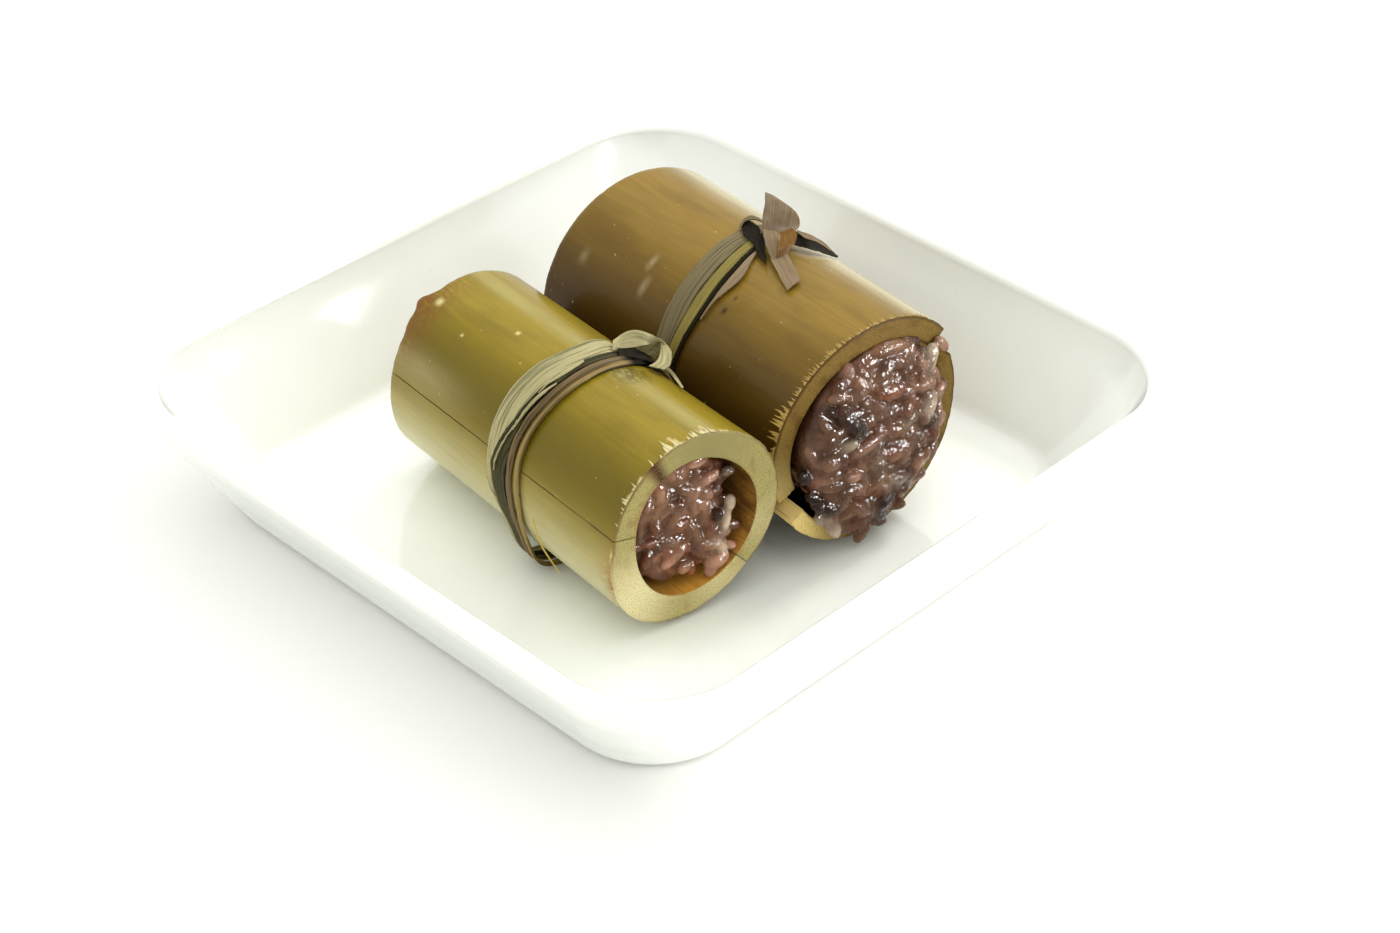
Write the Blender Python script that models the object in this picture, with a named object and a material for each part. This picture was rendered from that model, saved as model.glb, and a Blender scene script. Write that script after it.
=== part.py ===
"""Bamboo tube rice: sticky purple rice in two split bamboo culms, tied with leaf strips, on a square dish.

The dish stands on the table plane with its centre over the origin, and +Z is up. Each culm lies
along X, with its open end at +X. A place on a culm is given by the distance from its far end, the
angle round its axis (0 on the +Y side, 90 degrees on top) and the distance from the axis.
"""

import math
import random

import bmesh
import bpy
from mathutils import Matrix, Vector, noise

MM = 0.001
GAP = 0.3 * MM

# Square porcelain dish
LIP_HALF = 95.0 * MM
LIP_CORNER = 25.6 * MM
LIP_RADIUS = 2.8 * MM
DISH_HEIGHT = 35.7 * MM
BASE_HALF = 79.9 * MM
BASE_CORNER = 22.2 * MM
FOOT_INSET = 2.2 * MM
FOOT_HEIGHT = 1.2 * MM
WALL_THICKNESS = 4.2 * MM
FLOOR_TOP = 3.0 * MM
FLOOR_FILLET = 7.0 * MM
CORNER_STEPS = 8
LIP_STEPS = 8
FILLET_STEPS = 4

# The culms rest on their ties, a strip's thickness above the dish floor
REST_HEIGHT = 4.8 * MM
BACK_REST_HEIGHT = 4.5 * MM

FRONT_NEAR = (44.6 * MM, -31.05 * MM)
FRONT_TURN = math.radians(-6.15)
FRONT_LENGTH = 90.2 * MM
FRONT_FAR_RADIUS = 23.56 * MM
FRONT_NEAR_RADIUS = 24.14 * MM
FRONT_WALL = 6.57 * MM
FRONT_LEFT_CRACK = math.radians(166.5)
FRONT_RIGHT_CRACK = math.radians(-48.5)
FRONT_CRACK = 0.32 * MM

BACK_NEAR = (48.8 * MM, 23.55 * MM, 32.8 * MM)
BACK_TURN = math.radians(-8.55)
BACK_TILT = math.radians(4.33)
BACK_LENGTH = 92.0 * MM
BACK_FAR_RADIUS = 31.39 * MM
BACK_NEAR_RADIUS = 28.99 * MM
BACK_WALL = 5.66 * MM

LOWER_NEAR = (50.0 * MM, 20.45 * MM)
LOWER_TURN = math.radians(-7.74)
LOWER_LENGTH = 91.5 * MM
LOWER_RADIUS = 28.99 * MM
LOWER_WALL = 4.6 * MM

NODE_WALL = (5.0 * MM, 8.0 * MM)
NODE_SIDES = 36
ANGLE_STEP = math.radians(8.0)
RIM_BEVEL = 0.35 * MM

# Leaf strips
STRIP_THICKNESS = 0.36 * MM
STRIP_STEP = math.radians(9.0)
STRIP_LIFT = 0.37 * MM
STRIP_SPACE = 0.36 * MM
HULL_STEP = math.radians(4.0)
OUTLINE_SPACING = 4.0 * MM
RIBBON_STEPS = 2

# Rice
GRAIN_LENGTH = 6.2 * MM
GRAIN_WIDTH = 2.7 * MM
RICE_CLEARANCE = 0.75 * MM
GRAIN_BLUNTNESS = 0.62
FRONT_GRAINS = 37
BACK_GRAINS = 76
SPLIT_GRAINS = ((28.0, 0.6), (30.0, 5.2), (33.0, -2.6), (29.0, 9.0))
RICE_SIDES = 20
RICE_DOME = 5.6 * MM


def lerp(start, end, part):
    return start + (end - start) * part


def smoothstep(edge0, edge1, value):
    part = min(1.0, max(0.0, (value - edge0) / (edge1 - edge0)))
    return part * part * (3.0 - 2.0 * part)


def bump(value, centre, width):
    return math.exp(-((value - centre) / width) ** 2)


def out_of_round(wobble, angle):
    """The share of the mean radius at an angle; a wobble's terms hold its turns, size and phase."""
    return 1.0 + sum(size * math.cos(turns * (angle + phase)) for turns, size, phase in wobble)


def angle_between(angle, centre):
    """The signed turn from centre to angle, between minus and plus half a turn."""
    return (angle - centre + math.pi) % (2.0 * math.pi) - math.pi


def material(name, colour, roughness):
    surface = bpy.data.materials.new(name)
    surface.use_nodes = True
    shader = surface.node_tree.nodes["Principled BSDF"]
    shader.inputs["Base Color"].default_value = (*colour, 1.0)
    shader.inputs["Roughness"].default_value = roughness
    shader.inputs["Metallic"].default_value = 0.0
    surface.diffuse_color = (*colour, 1.0)
    return surface


def add_object(name, vertices, faces, surface, sharp_angle=math.radians(40.0)):
    mesh = bpy.data.meshes.new(name)
    mesh.from_pydata([tuple(vertex) for vertex in vertices], [], faces)
    shape = bmesh.new()
    shape.from_mesh(mesh)
    bmesh.ops.recalc_face_normals(shape, faces=shape.faces)
    shape.to_mesh(mesh)
    shape.free()
    mesh.materials.append(surface)
    mesh.shade_smooth()
    mesh.set_sharp_from_angle(angle=sharp_angle)
    piece = bpy.data.objects.new(name, mesh)
    bpy.context.collection.objects.link(piece)
    return piece


def loft(rings):
    """Quads between closed rings of equal length, with a fan to the middle of each end."""
    count = len(rings[0])
    vertices = [Vector(point) for ring in rings for point in ring]
    faces = []
    for level in range(len(rings) - 1):
        low, high = level * count, (level + 1) * count
        for index in range(count):
            after = (index + 1) % count
            faces.append((low + index, low + after, high + after, high + index))
    for start in (0, (len(rings) - 1) * count):
        ring = vertices[start:start + count]
        vertices.append(sum(ring, Vector()) / count)
        middle = len(vertices) - 1
        for index in range(count):
            faces.append((start + index, start + (index + 1) % count, middle))
    return vertices, faces


def fuse(base, pieces, solver="EXACT"):
    """Joins the pieces to the base by one Boolean union, applied, and removes them."""
    group = bpy.data.collections.new(base.name + "_pieces")
    bpy.context.scene.collection.children.link(group)
    for piece in pieces:
        for owner in list(piece.users_collection):
            owner.objects.unlink(piece)
        group.objects.link(piece)
    union = base.modifiers.new("union", "BOOLEAN")
    union.operation = "UNION"
    union.operand_type = "COLLECTION"
    union.collection = group
    union.solver = solver
    evaluated = base.evaluated_get(bpy.context.evaluated_depsgraph_get())
    merged = bpy.data.meshes.new_from_object(evaluated)
    base.modifiers.remove(union)
    base.data = merged
    for piece in pieces:
        bpy.data.objects.remove(piece)
    bpy.data.collections.remove(group)
    return base


def keep_largest(piece):
    """Keeps only the largest closed body of a fused piece."""
    shape = bmesh.new()
    shape.from_mesh(piece.data)
    bmesh.ops.triangulate(shape, faces=shape.faces)
    remaining = set(shape.verts)
    bodies = []
    while remaining:
        stack = [remaining.pop()]
        body = []
        while stack:
            vertex = stack.pop()
            body.append(vertex)
            for edge in vertex.link_edges:
                other = edge.other_vert(vertex)
                if other in remaining:
                    remaining.remove(other)
                    stack.append(other)
        bodies.append(body)
    bodies.sort(key=len)
    for body in bodies[:-1]:
        bmesh.ops.delete(shape, geom=body, context="VERTS")
    shape.to_mesh(piece.data)
    shape.free()


class Culm:
    """A length of bamboo: its axis, its sizes and the outline of its bark."""

    def __init__(self, near, turn, tilt, length, radii, wall, outer_wobble=(), inner_wobble=()):
        flat = math.cos(tilt)
        self.axis = Vector((math.cos(turn) * flat, math.sin(turn) * flat, math.sin(tilt)))
        self.side = Vector((0.0, 0.0, 1.0)).cross(self.axis).normalized()
        self.up = self.axis.cross(self.side)
        self.length = length
        self.origin = Vector(near) - self.axis * length
        self.far_radius, self.near_radius = radii
        self.wall = wall
        self.outer_wobble = outer_wobble
        self.inner_wobble = inner_wobble

    def middle(self, along):
        return self.origin + self.axis * along

    def outer(self, along, angle):
        radius = lerp(self.far_radius, self.near_radius, along / self.length)
        return radius * out_of_round(self.outer_wobble, angle)

    def inner(self, along, angle):
        radius = lerp(self.far_radius, self.near_radius, along / self.length) - self.wall
        return radius * out_of_round(self.inner_wobble, angle)

    def direction(self, angle):
        return self.side * math.cos(angle) + self.up * math.sin(angle)

    def place(self, along, angle, radius):
        return self.middle(along) + self.direction(angle) * radius

    def on_bark(self, along, angle, lift):
        return self.place(along, angle, self.outer(along, angle) + lift)

    def measure(self, point):
        """The distance along, the angle and the radius of a point."""
        offset = point - self.origin
        across, high = offset.dot(self.side), offset.dot(self.up)
        return offset.dot(self.axis), math.atan2(high, across), math.hypot(across, high)


class Half:
    """The part of a culm between two lengthwise cuts, whose angles may change along it."""

    def __init__(self, culm, far_cuts, near_cuts, near_end=None, far_end=None, lengths=3):
        self.culm = culm
        self.far_cuts = far_cuts
        self.near_cuts = near_cuts
        self.near_end = near_end or (lambda angle: culm.length)
        self.far_end = far_end or (lambda angle: 0.0)
        self.lengths = lengths

    def cuts(self, along):
        part = along / self.culm.length
        return tuple(lerp(far, near, part) for far, near in zip(self.far_cuts, self.near_cuts))

    def blocks(self, point, gap):
        """Whether a point lies in the wall or nearer to it than the gap."""
        along, angle, radius = self.culm.measure(point)
        if not self.far_end(angle) - gap < along < self.near_end(angle) + gap:
            return False
        if not self.culm.inner(along, angle) - gap < radius < self.culm.outer(along, angle) + gap:
            return False
        start, end = self.cuts(along)
        margin = gap / radius
        return (angle - start + margin) % (2.0 * math.pi) < end - start + 2.0 * margin

    def columns(self):
        spans = [end - start for start, end in (self.far_cuts, self.near_cuts)]
        return max(4, round(max(spans) / ANGLE_STEP))

    def solid(self):
        """Two skins on one grid, closed by the two end rims and the two cut faces."""
        culm = self.culm
        stations = [index / self.lengths for index in range(self.lengths + 1)]
        columns = self.columns()
        vertices, faces = [], []
        grid = {}
        for column in range(columns + 1):
            profile = []
            for level, part in enumerate(stations):
                start, end = self.cuts(culm.length * part)
                angle = lerp(start, end, column / columns)
                along = lerp(self.far_end(angle), self.near_end(angle), part)
                outer, inner = culm.outer(along, angle), culm.inner(along, angle)
                inward = RIM_BEVEL if level in (0, len(stations) - 1) else 0.0
                inset = RIM_BEVEL if level == 0 else -RIM_BEVEL
                if inward and level == 0:
                    profile.append((along, angle, outer - inward, inner + inward))
                    profile.append((along + inset, angle, outer, inner))
                elif inward:
                    profile.append((along + inset, angle, outer, inner))
                    profile.append((along, angle, outer - inward, inner + inward))
                else:
                    profile.append((along, angle, outer, inner))
            for row, (along, angle, outer, inner) in enumerate(profile):
                grid[column, row, 0] = len(vertices)
                vertices.append(culm.place(along, angle, outer))
                grid[column, row, 1] = len(vertices)
                vertices.append(culm.place(along, angle, inner))
        rows = len(profile)
        for column in range(columns):
            for row in range(rows - 1):
                for skin in (0, 1):
                    corners = [(column, row), (column + 1, row), (column + 1, row + 1), (column, row + 1)]
                    faces.append([grid[c, r, skin] for c, r in corners])
            for row in (0, rows - 1):
                faces.append([grid[column, row, 0], grid[column + 1, row, 0],
                              grid[column + 1, row, 1], grid[column, row, 1]])
        for column in (0, columns):
            for row in range(rows - 1):
                faces.append([grid[column, row, 0], grid[column, row + 1, 0],
                              grid[column, row + 1, 1], grid[column, row, 1]])
        return vertices, faces


def front_culm():
    centre = (*FRONT_NEAR, REST_HEIGHT + FRONT_NEAR_RADIUS)
    tilt = math.atan2(FRONT_NEAR_RADIUS - FRONT_FAR_RADIUS, FRONT_LENGTH)
    return Culm(centre, FRONT_TURN, tilt, FRONT_LENGTH, (FRONT_FAR_RADIUS, FRONT_NEAR_RADIUS), FRONT_WALL,
                outer_wobble=((2, -0.040, 0.60), (3, 0.022, 0.06)),
                inner_wobble=((1, 0.030, 0.35), (2, 0.040, 1.50), (3, 0.024, 0.01)))


def back_culm():
    return Culm(BACK_NEAR, BACK_TURN, BACK_TILT, BACK_LENGTH, (BACK_FAR_RADIUS, BACK_NEAR_RADIUS), BACK_WALL)


def back_lower_culm():
    centre = (*LOWER_NEAR, BACK_REST_HEIGHT + LOWER_RADIUS)
    return Culm(centre, LOWER_TURN, 0.0, LOWER_LENGTH, (LOWER_RADIUS, LOWER_RADIUS), LOWER_WALL)


def front_halves(culm):
    """Two halves held shut by the ties, with a hairline crack on each side and one splintered corner."""
    crack = FRONT_CRACK / (FRONT_FAR_RADIUS - FRONT_WALL)
    left, right = FRONT_LEFT_CRACK, FRONT_RIGHT_CRACK
    upper_cuts = (right + crack / 2.0, left - crack / 2.0)
    lower_cuts = (left + crack / 2.0, right + 2.0 * math.pi - crack / 2.0)

    def near_end(angle):
        radius = FRONT_NEAR_RADIUS
        return culm.length + 0.058 * radius * math.cos(angle) - 0.020 * radius * math.sin(angle)

    def far_end(angle):
        turn = math.degrees(angle_between(angle, math.radians(118.0)))
        return -2.4 * MM * bump(turn, 0.0, 7.0) - 0.9 * MM * bump(turn, 14.0, 6.0)

    return (Half(culm, upper_cuts, upper_cuts, near_end, far_end, lengths=2),
            Half(culm, lower_cuts, lower_cuts, near_end, lengths=2))


def back_upper_half(culm):
    def near_end(angle):
        radius = BACK_NEAR_RADIUS
        return culm.length - 0.010 * radius * math.cos(angle) + 0.145 * radius * math.sin(angle)

    far_cuts = (math.radians(8.0), math.radians(183.0))
    near_cuts = (math.radians(40.0), math.radians(207.0))
    return Half(culm, far_cuts, near_cuts, near_end)


def back_lower_half(culm):
    def near_end(angle):
        return culm.length + 1.7 * MM * (1.0 - math.cos(angle - math.radians(45.0)))

    far_cuts = (math.radians(207.5), math.radians(350.0))
    near_cuts = (math.radians(213.0), math.radians(380.0))
    return Half(culm, far_cuts, near_cuts, near_end)


def reach(origin, direction, culm, along, clearance):
    """How far a ray across the culm runs before it comes within the clearance of the inner wall."""
    start = origin - culm.middle(along)
    start -= culm.axis * start.dot(culm.axis)
    step = direction - culm.axis * direction.dot(culm.axis)
    limit = culm.inner(along, math.atan2(direction.dot(culm.up), direction.dot(culm.side))) - clearance
    a, b, c = step.dot(step), 2.0 * start.dot(step), start.dot(start) - limit * limit
    return (-b + math.sqrt(max(0.0, b * b - 4.0 * a * c))) / (2.0 * a)


def node_wall(host, others, clearance, surface):
    """The disc that closes a culm at its node, grown into the host half and clear of the other one."""
    culm = host.culm
    rings = []
    for along in NODE_WALL:
        start, end = host.cuts(along)
        inset = clearance / culm.inner(along, start)
        angles = [2.0 * math.pi * index / NODE_SIDES for index in range(NODE_SIDES)]
        angles += [start % (2.0 * math.pi) + inset, (end % (2.0 * math.pi)) - inset]
        ring = []
        for angle in sorted(angles):
            past = (angle - start - 1.5 * inset) % (2.0 * math.pi)
            if past < end - start - 3.0 * inset:
                radius = culm.inner(along, angle) + culm.wall * 0.4
            else:
                limits = [reach(culm.middle(along), culm.direction(angle), other.culm, along, clearance)
                          for other in others]
                radius = min(limits + [culm.inner(along, angle) - clearance])
            ring.append(culm.place(along, angle, radius))
        rings.append(ring)
    vertices, faces = loft(rings)
    return add_object("node_wall", vertices, faces, surface)


def rounded_square(half, corner, height):
    """The points of a square with round corners, anticlockwise, with one in the middle of each side."""
    points = []
    for quarter in range(4):
        turn = Matrix.Rotation(math.pi / 2.0 * quarter, 3, "Z")
        points.append(turn @ Vector((half, 0.0, height)))
        for step in range(CORNER_STEPS + 1):
            angle = math.pi / 2.0 * step / CORNER_STEPS
            across = half - corner + corner * math.cos(angle)
            up = half - corner + corner * math.sin(angle)
            points.append(turn @ Vector((across, up, height)))
    return points


def dish(surface):
    """Foot, flared outer wall, rolled lip, inner wall and the fillet to the flat floor, as one loft."""
    lip_height = DISH_HEIGHT - LIP_RADIUS
    slope = math.atan2(LIP_HALF - BASE_HALF, lip_height - FOOT_HEIGHT)
    corner_rate = (LIP_CORNER - BASE_CORNER) / (LIP_HALF - BASE_HALF)

    def ring(half, height):
        return rounded_square(half, BASE_CORNER + corner_rate * (half - BASE_HALF), height)

    rings = [ring(BASE_HALF - FOOT_INSET, 0.0), ring(BASE_HALF - FOOT_INSET / 3.0, FOOT_HEIGHT / 3.0),
             ring(BASE_HALF, FOOT_HEIGHT)]
    for step in range(LIP_STEPS + 1):
        angle = lerp(-slope, math.pi, step / LIP_STEPS)
        rings.append(ring(LIP_HALF + LIP_RADIUS * math.cos(angle), lip_height + LIP_RADIUS * math.sin(angle)))
    floor_half = BASE_HALF - WALL_THICKNESS - 1.0 * MM
    bend = math.pi / 2.0 - slope
    for step in range(FILLET_STEPS + 1):
        angle = bend * (1.0 - step / FILLET_STEPS)
        rings.append(ring(floor_half - FLOOR_FILLET * (math.tan(bend / 2.0) - math.sin(angle)),
                          FLOOR_TOP + FLOOR_FILLET * (1.0 - math.cos(angle))))
    vertices, faces = loft(rings)
    return add_object("dish", vertices, faces, surface)


def strip_solid(stations, columns):
    """A thin solid strip. A station holds its two edge points and the way its upper face looks."""
    count = columns + 1
    vertices = []
    for left, right, outward in stations:
        row = [left.lerp(right, step / columns) for step in range(count)]
        vertices += [point + outward * STRIP_THICKNESS for point in row] + row

    def corner(row, column, side):
        return (row % len(stations)) * 2 * count + side * count + column

    return vertices, corner


def strip_faces(corner, row, columns):
    """The faces between a row and the next, with both broad faces split alike."""
    faces = []
    for column in range(columns):
        for side in (0, 1):
            first, second = corner(row, column, side), corner(row + 1, column, side)
            third, fourth = corner(row + 1, column + 1, side), corner(row, column + 1, side)
            faces += [(first, second, third), (first, third, fourth)]
    for column in (0, columns):
        first, second = corner(row, column, 0), corner(row + 1, column, 0)
        third, fourth = corner(row + 1, column, 1), corner(row, column, 1)
        faces += [(first, second, third), (first, third, fourth)]
    return faces


def strip(name, stations, surface, ring=False, columns=1):
    """A strip that is closed into a ring, or has its two ends capped."""
    vertices, corner = strip_solid(stations, columns)
    joins = len(stations) if ring else len(stations) - 1
    faces = [face for row in range(joins) for face in strip_faces(corner, row, columns)]
    if not ring:
        for row in (0, len(stations) - 1):
            for column in range(columns):
                faces.append((corner(row, column, 0), corner(row, column + 1, 0),
                              corner(row, column + 1, 1), corner(row, column, 1)))
    return add_object(name, vertices, faces, surface)


def turn_of(first, second, third):
    return (second[0] - first[0]) * (third[1] - first[1]) - (second[1] - first[1]) * (third[0] - first[0])


def convex_outline(points):
    """The convex outline of flat points, anticlockwise."""
    points = sorted(set(points))
    outline = []
    for sweep in (points, points[::-1]):
        chain = []
        for point in sweep:
            while len(chain) > 1 and turn_of(chain[-2], chain[-1], point) <= 0.0:
                chain.pop()
            chain.append(point)
        outline += chain[:-1]
    return outline


def taut_outline(culm, halves, along):
    """The outline that a strip pulled tight round the halves would follow, across the culm."""
    middle = culm.middle(along)
    points = []
    for half in halves:
        start, end = half.cuts(along)
        count = max(2, round((end - start) / HULL_STEP))
        for index in range(count + 1):
            angle = lerp(start, end, index / count)
            offset = half.culm.on_bark(along, angle, 0.0) - middle
            points.append((offset.dot(culm.side), offset.dot(culm.up)))
    return convex_outline(points)


def outline_radius(outline, angle):
    """Where a ray from the middle leaves the outline."""
    across, high = math.cos(angle), math.sin(angle)
    for index, (x0, y0) in enumerate(outline):
        x1, y1 = outline[(index + 1) % len(outline)]
        before, after = across * y0 - high * x0, across * y1 - high * x1
        if before <= 0.0 < after:
            part = before / (before - after)
            return lerp(x0, x1, part) * across + lerp(y0, y1, part) * high
    raise ValueError("the ray leaves no outline")


class Winding:
    """Strips wound round the halves of one culm. Places are in millimetres along and degrees round."""

    def __init__(self, culm, halves):
        self.culm = culm
        self.halves = halves
        self.outlines = {}

    def radius(self, slot, angle):
        if slot not in self.outlines:
            self.outlines[slot] = taut_outline(self.culm, self.halves, slot * OUTLINE_SPACING)
        return outline_radius(self.outlines[slot], angle)

    def place(self, along, turn, lift):
        """A point outside the outline by the lift, far enough out for a straight step to its neighbours."""
        angle = math.radians(turn)
        slot, part = divmod(along * MM / OUTLINE_SPACING, 1.0)
        offsets = [STRIP_STEP / 2.0 * share for share in (-1.0, -0.5, 0.0, 0.5, 1.0)]
        radius = max(lerp(self.radius(slot, angle + offset), self.radius(slot + 1.0, angle + offset), part)
                     / math.cos(offset) for offset in offsets)
        return self.culm.place(along * MM, angle, radius + lift * MM)

    def band(self, start, end, left, right, lift, ring=False):
        """Stations between two turns; left, right and lift are functions of the turn."""
        count = round(math.radians(end - start) / STRIP_STEP)
        stations = []
        for index in range(count if ring else count + 1):
            turn = lerp(start, end, index / count)
            edges = [self.place(side(turn), turn, lift(turn)) for side in (left, right)]
            stations.append((*edges, self.culm.direction(math.radians(turn))))
        return stations

    def ribbon(self, rows):
        """Stations through hand-placed rows of two edge places, eased by a smooth curve."""
        edges = [[self.place(*row[:3]) for row in rows], [self.place(*row[3:]) for row in rows]]
        left, right = smooth_line(edges[0]), smooth_line(edges[1])
        outer_side = self.culm.direction(math.radians(rows[0][1]))
        stations = []
        for index in range(len(left)):
            before, after = max(0, index - 1), min(len(left) - 1, index + 1)
            forward = (left[after] + right[after]) - (left[before] + right[before])
            outward = forward.cross(left[index] - right[index]).normalized()
            if index == 0:
                sign = math.copysign(1.0, outward.dot(outer_side))
            stations.append((left[index], right[index], outward * sign))
        return stations


def smooth_line(points):
    """A Catmull-Rom curve through the points."""
    line = []
    for index in range(len(points) - 1):
        before, start = points[max(0, index - 1)], points[index]
        end, after = points[index + 1], points[min(len(points) - 1, index + 2)]
        for step in range(RIBBON_STEPS):
            part = step / RIBBON_STEPS
            bend = (end - before) * part + (2.0 * before - 5.0 * start + 4.0 * end - after) * part ** 2
            bend += (3.0 * start - before - 3.0 * end + after) * part ** 3
            line.append(start + bend * 0.5)
    line.append(points[-1])
    return line


def ellipsoid(name, centre, long_axis, flat_axis, sizes, sides, surface, bluntness=1.0):
    """A closed low ball stretched along a direction, with its half sizes along, across and thick."""
    across = flat_axis.cross(long_axis).normalized()
    thick = long_axis.cross(across).normalized()
    shape = bmesh.new()
    bmesh.ops.create_uvsphere(shape, u_segments=sides[0], v_segments=sides[1], radius=1.0)
    frame = Matrix((across * sizes[1], thick * sizes[2], long_axis.normalized() * sizes[0])).transposed()
    for vertex in shape.verts:
        girth = max(1e-6, math.hypot(vertex.co.x, vertex.co.y)) ** (bluntness - 1.0)
        unit = Vector((vertex.co.x * girth, vertex.co.y * girth, vertex.co.z))
        vertex.co = Vector(centre) + frame @ unit
    mesh = bpy.data.meshes.new(name)
    shape.to_mesh(mesh)
    shape.free()
    mesh.materials.append(surface)
    mesh.shade_smooth()
    piece = bpy.data.objects.new(name, mesh)
    bpy.context.collection.objects.link(piece)
    return piece


def front_ties(winding, cream, dark, mauve, tan):
    """A wide leaf with its knotted loop, then a dark, a mauve and a tan strip, side by side."""
    def edge(turn):
        turn = (turn - 44.0) % 360.0 + 44.0
        towards_knot = 6.3 - 2.3 * smoothstep(112.0, 150.0, turn) - 2.0 * smoothstep(74.0, 95.0, turn)
        return 50.4 + towards_knot + 4.3 * smoothstep(192.0, 228.0, turn)

    def slack(turn):
        turn = turn % 360.0
        return STRIP_LIFT / MM + 2.9 * bump(turn, 228.0, 15.0) + 0.5 * bump(turn, 120.0, 45.0)

    def leaf_left(turn):
        return 40.4 + 1.4 * bump(turn, 92.0, 18.0) - 1.2 * smoothstep(115.0, 165.0, turn)

    def leaf_right(turn):
        narrowest = 2.6 * (1.0 - smoothstep(205.0, 262.0, turn))
        return max(49.2 - 0.118 * max(0.0, turn - 106.0), leaf_left(turn) + narrowest)

    def tan_left(turn):
        return edge(turn) - 1.8

    def mauve_right(turn):
        return tan_left(turn) - STRIP_SPACE / MM

    def mauve_left(turn):
        return mauve_right(turn) - 1.5

    def dark_right(turn):
        return mauve_left(turn) - STRIP_SPACE / MM

    def dark_left(turn):
        turn = (turn - 44.0) % 360.0 + 44.0
        beside_leaf = leaf_right(min(turn, 240.0)) + 1.4 * STRIP_SPACE / MM
        return lerp(min(dark_right(turn) - 0.9, beside_leaf), 49.5, smoothstep(250.0, 330.0, turn))

    strip("front_tan_strip", winding.band(0.0, 360.0, tan_left, edge, slack, ring=True), tan, ring=True)
    strip("front_mauve_strip", winding.band(0.0, 360.0, mauve_left, mauve_right, slack, ring=True),
          mauve, ring=True)
    strip("front_dark_strip", winding.band(0.0, 360.0, dark_left, dark_right, slack, ring=True),
          dark, ring=True)
    leaf = strip("front_leaf", winding.band(66.0, 255.0, leaf_left, leaf_right, slack), cream, columns=2)
    loop = strip("loop", winding.ribbon([
        (41.0, 77.0, 0.55, 48.8, 79.0, 0.55), (42.0, 62.0, 2.0, 49.6, 66.0, 1.9),
        (43.5, 52.0, 4.9, 49.6, 57.0, 2.8), (44.6, 46.0, 6.1, 48.6, 50.5, 5.0),
        (45.6, 40.0, 6.7, 49.0, 44.5, 6.3), (46.4, 34.0, 6.6, 53.2, 42.0, 5.6),
        (47.0, 29.0, 4.9, 54.6, 39.0, 3.7), (49.5, 30.5, 2.4, 54.0, 38.5, 2.2),
        (51.5, 37.0, 1.8, 54.3, 43.0, 1.7)]), cream)
    tail = strip("tail", winding.ribbon([
        (51.0, 38.0, 2.1, 53.5, 42.0, 2.1), (54.0, 33.0, 1.8, 55.6, 36.0, 1.8),
        (57.6, 25.0, 1.4, 58.8, 27.0, 1.4)]), cream)
    fuse(leaf, [loop, tail])
    keep_largest(leaf)


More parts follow.
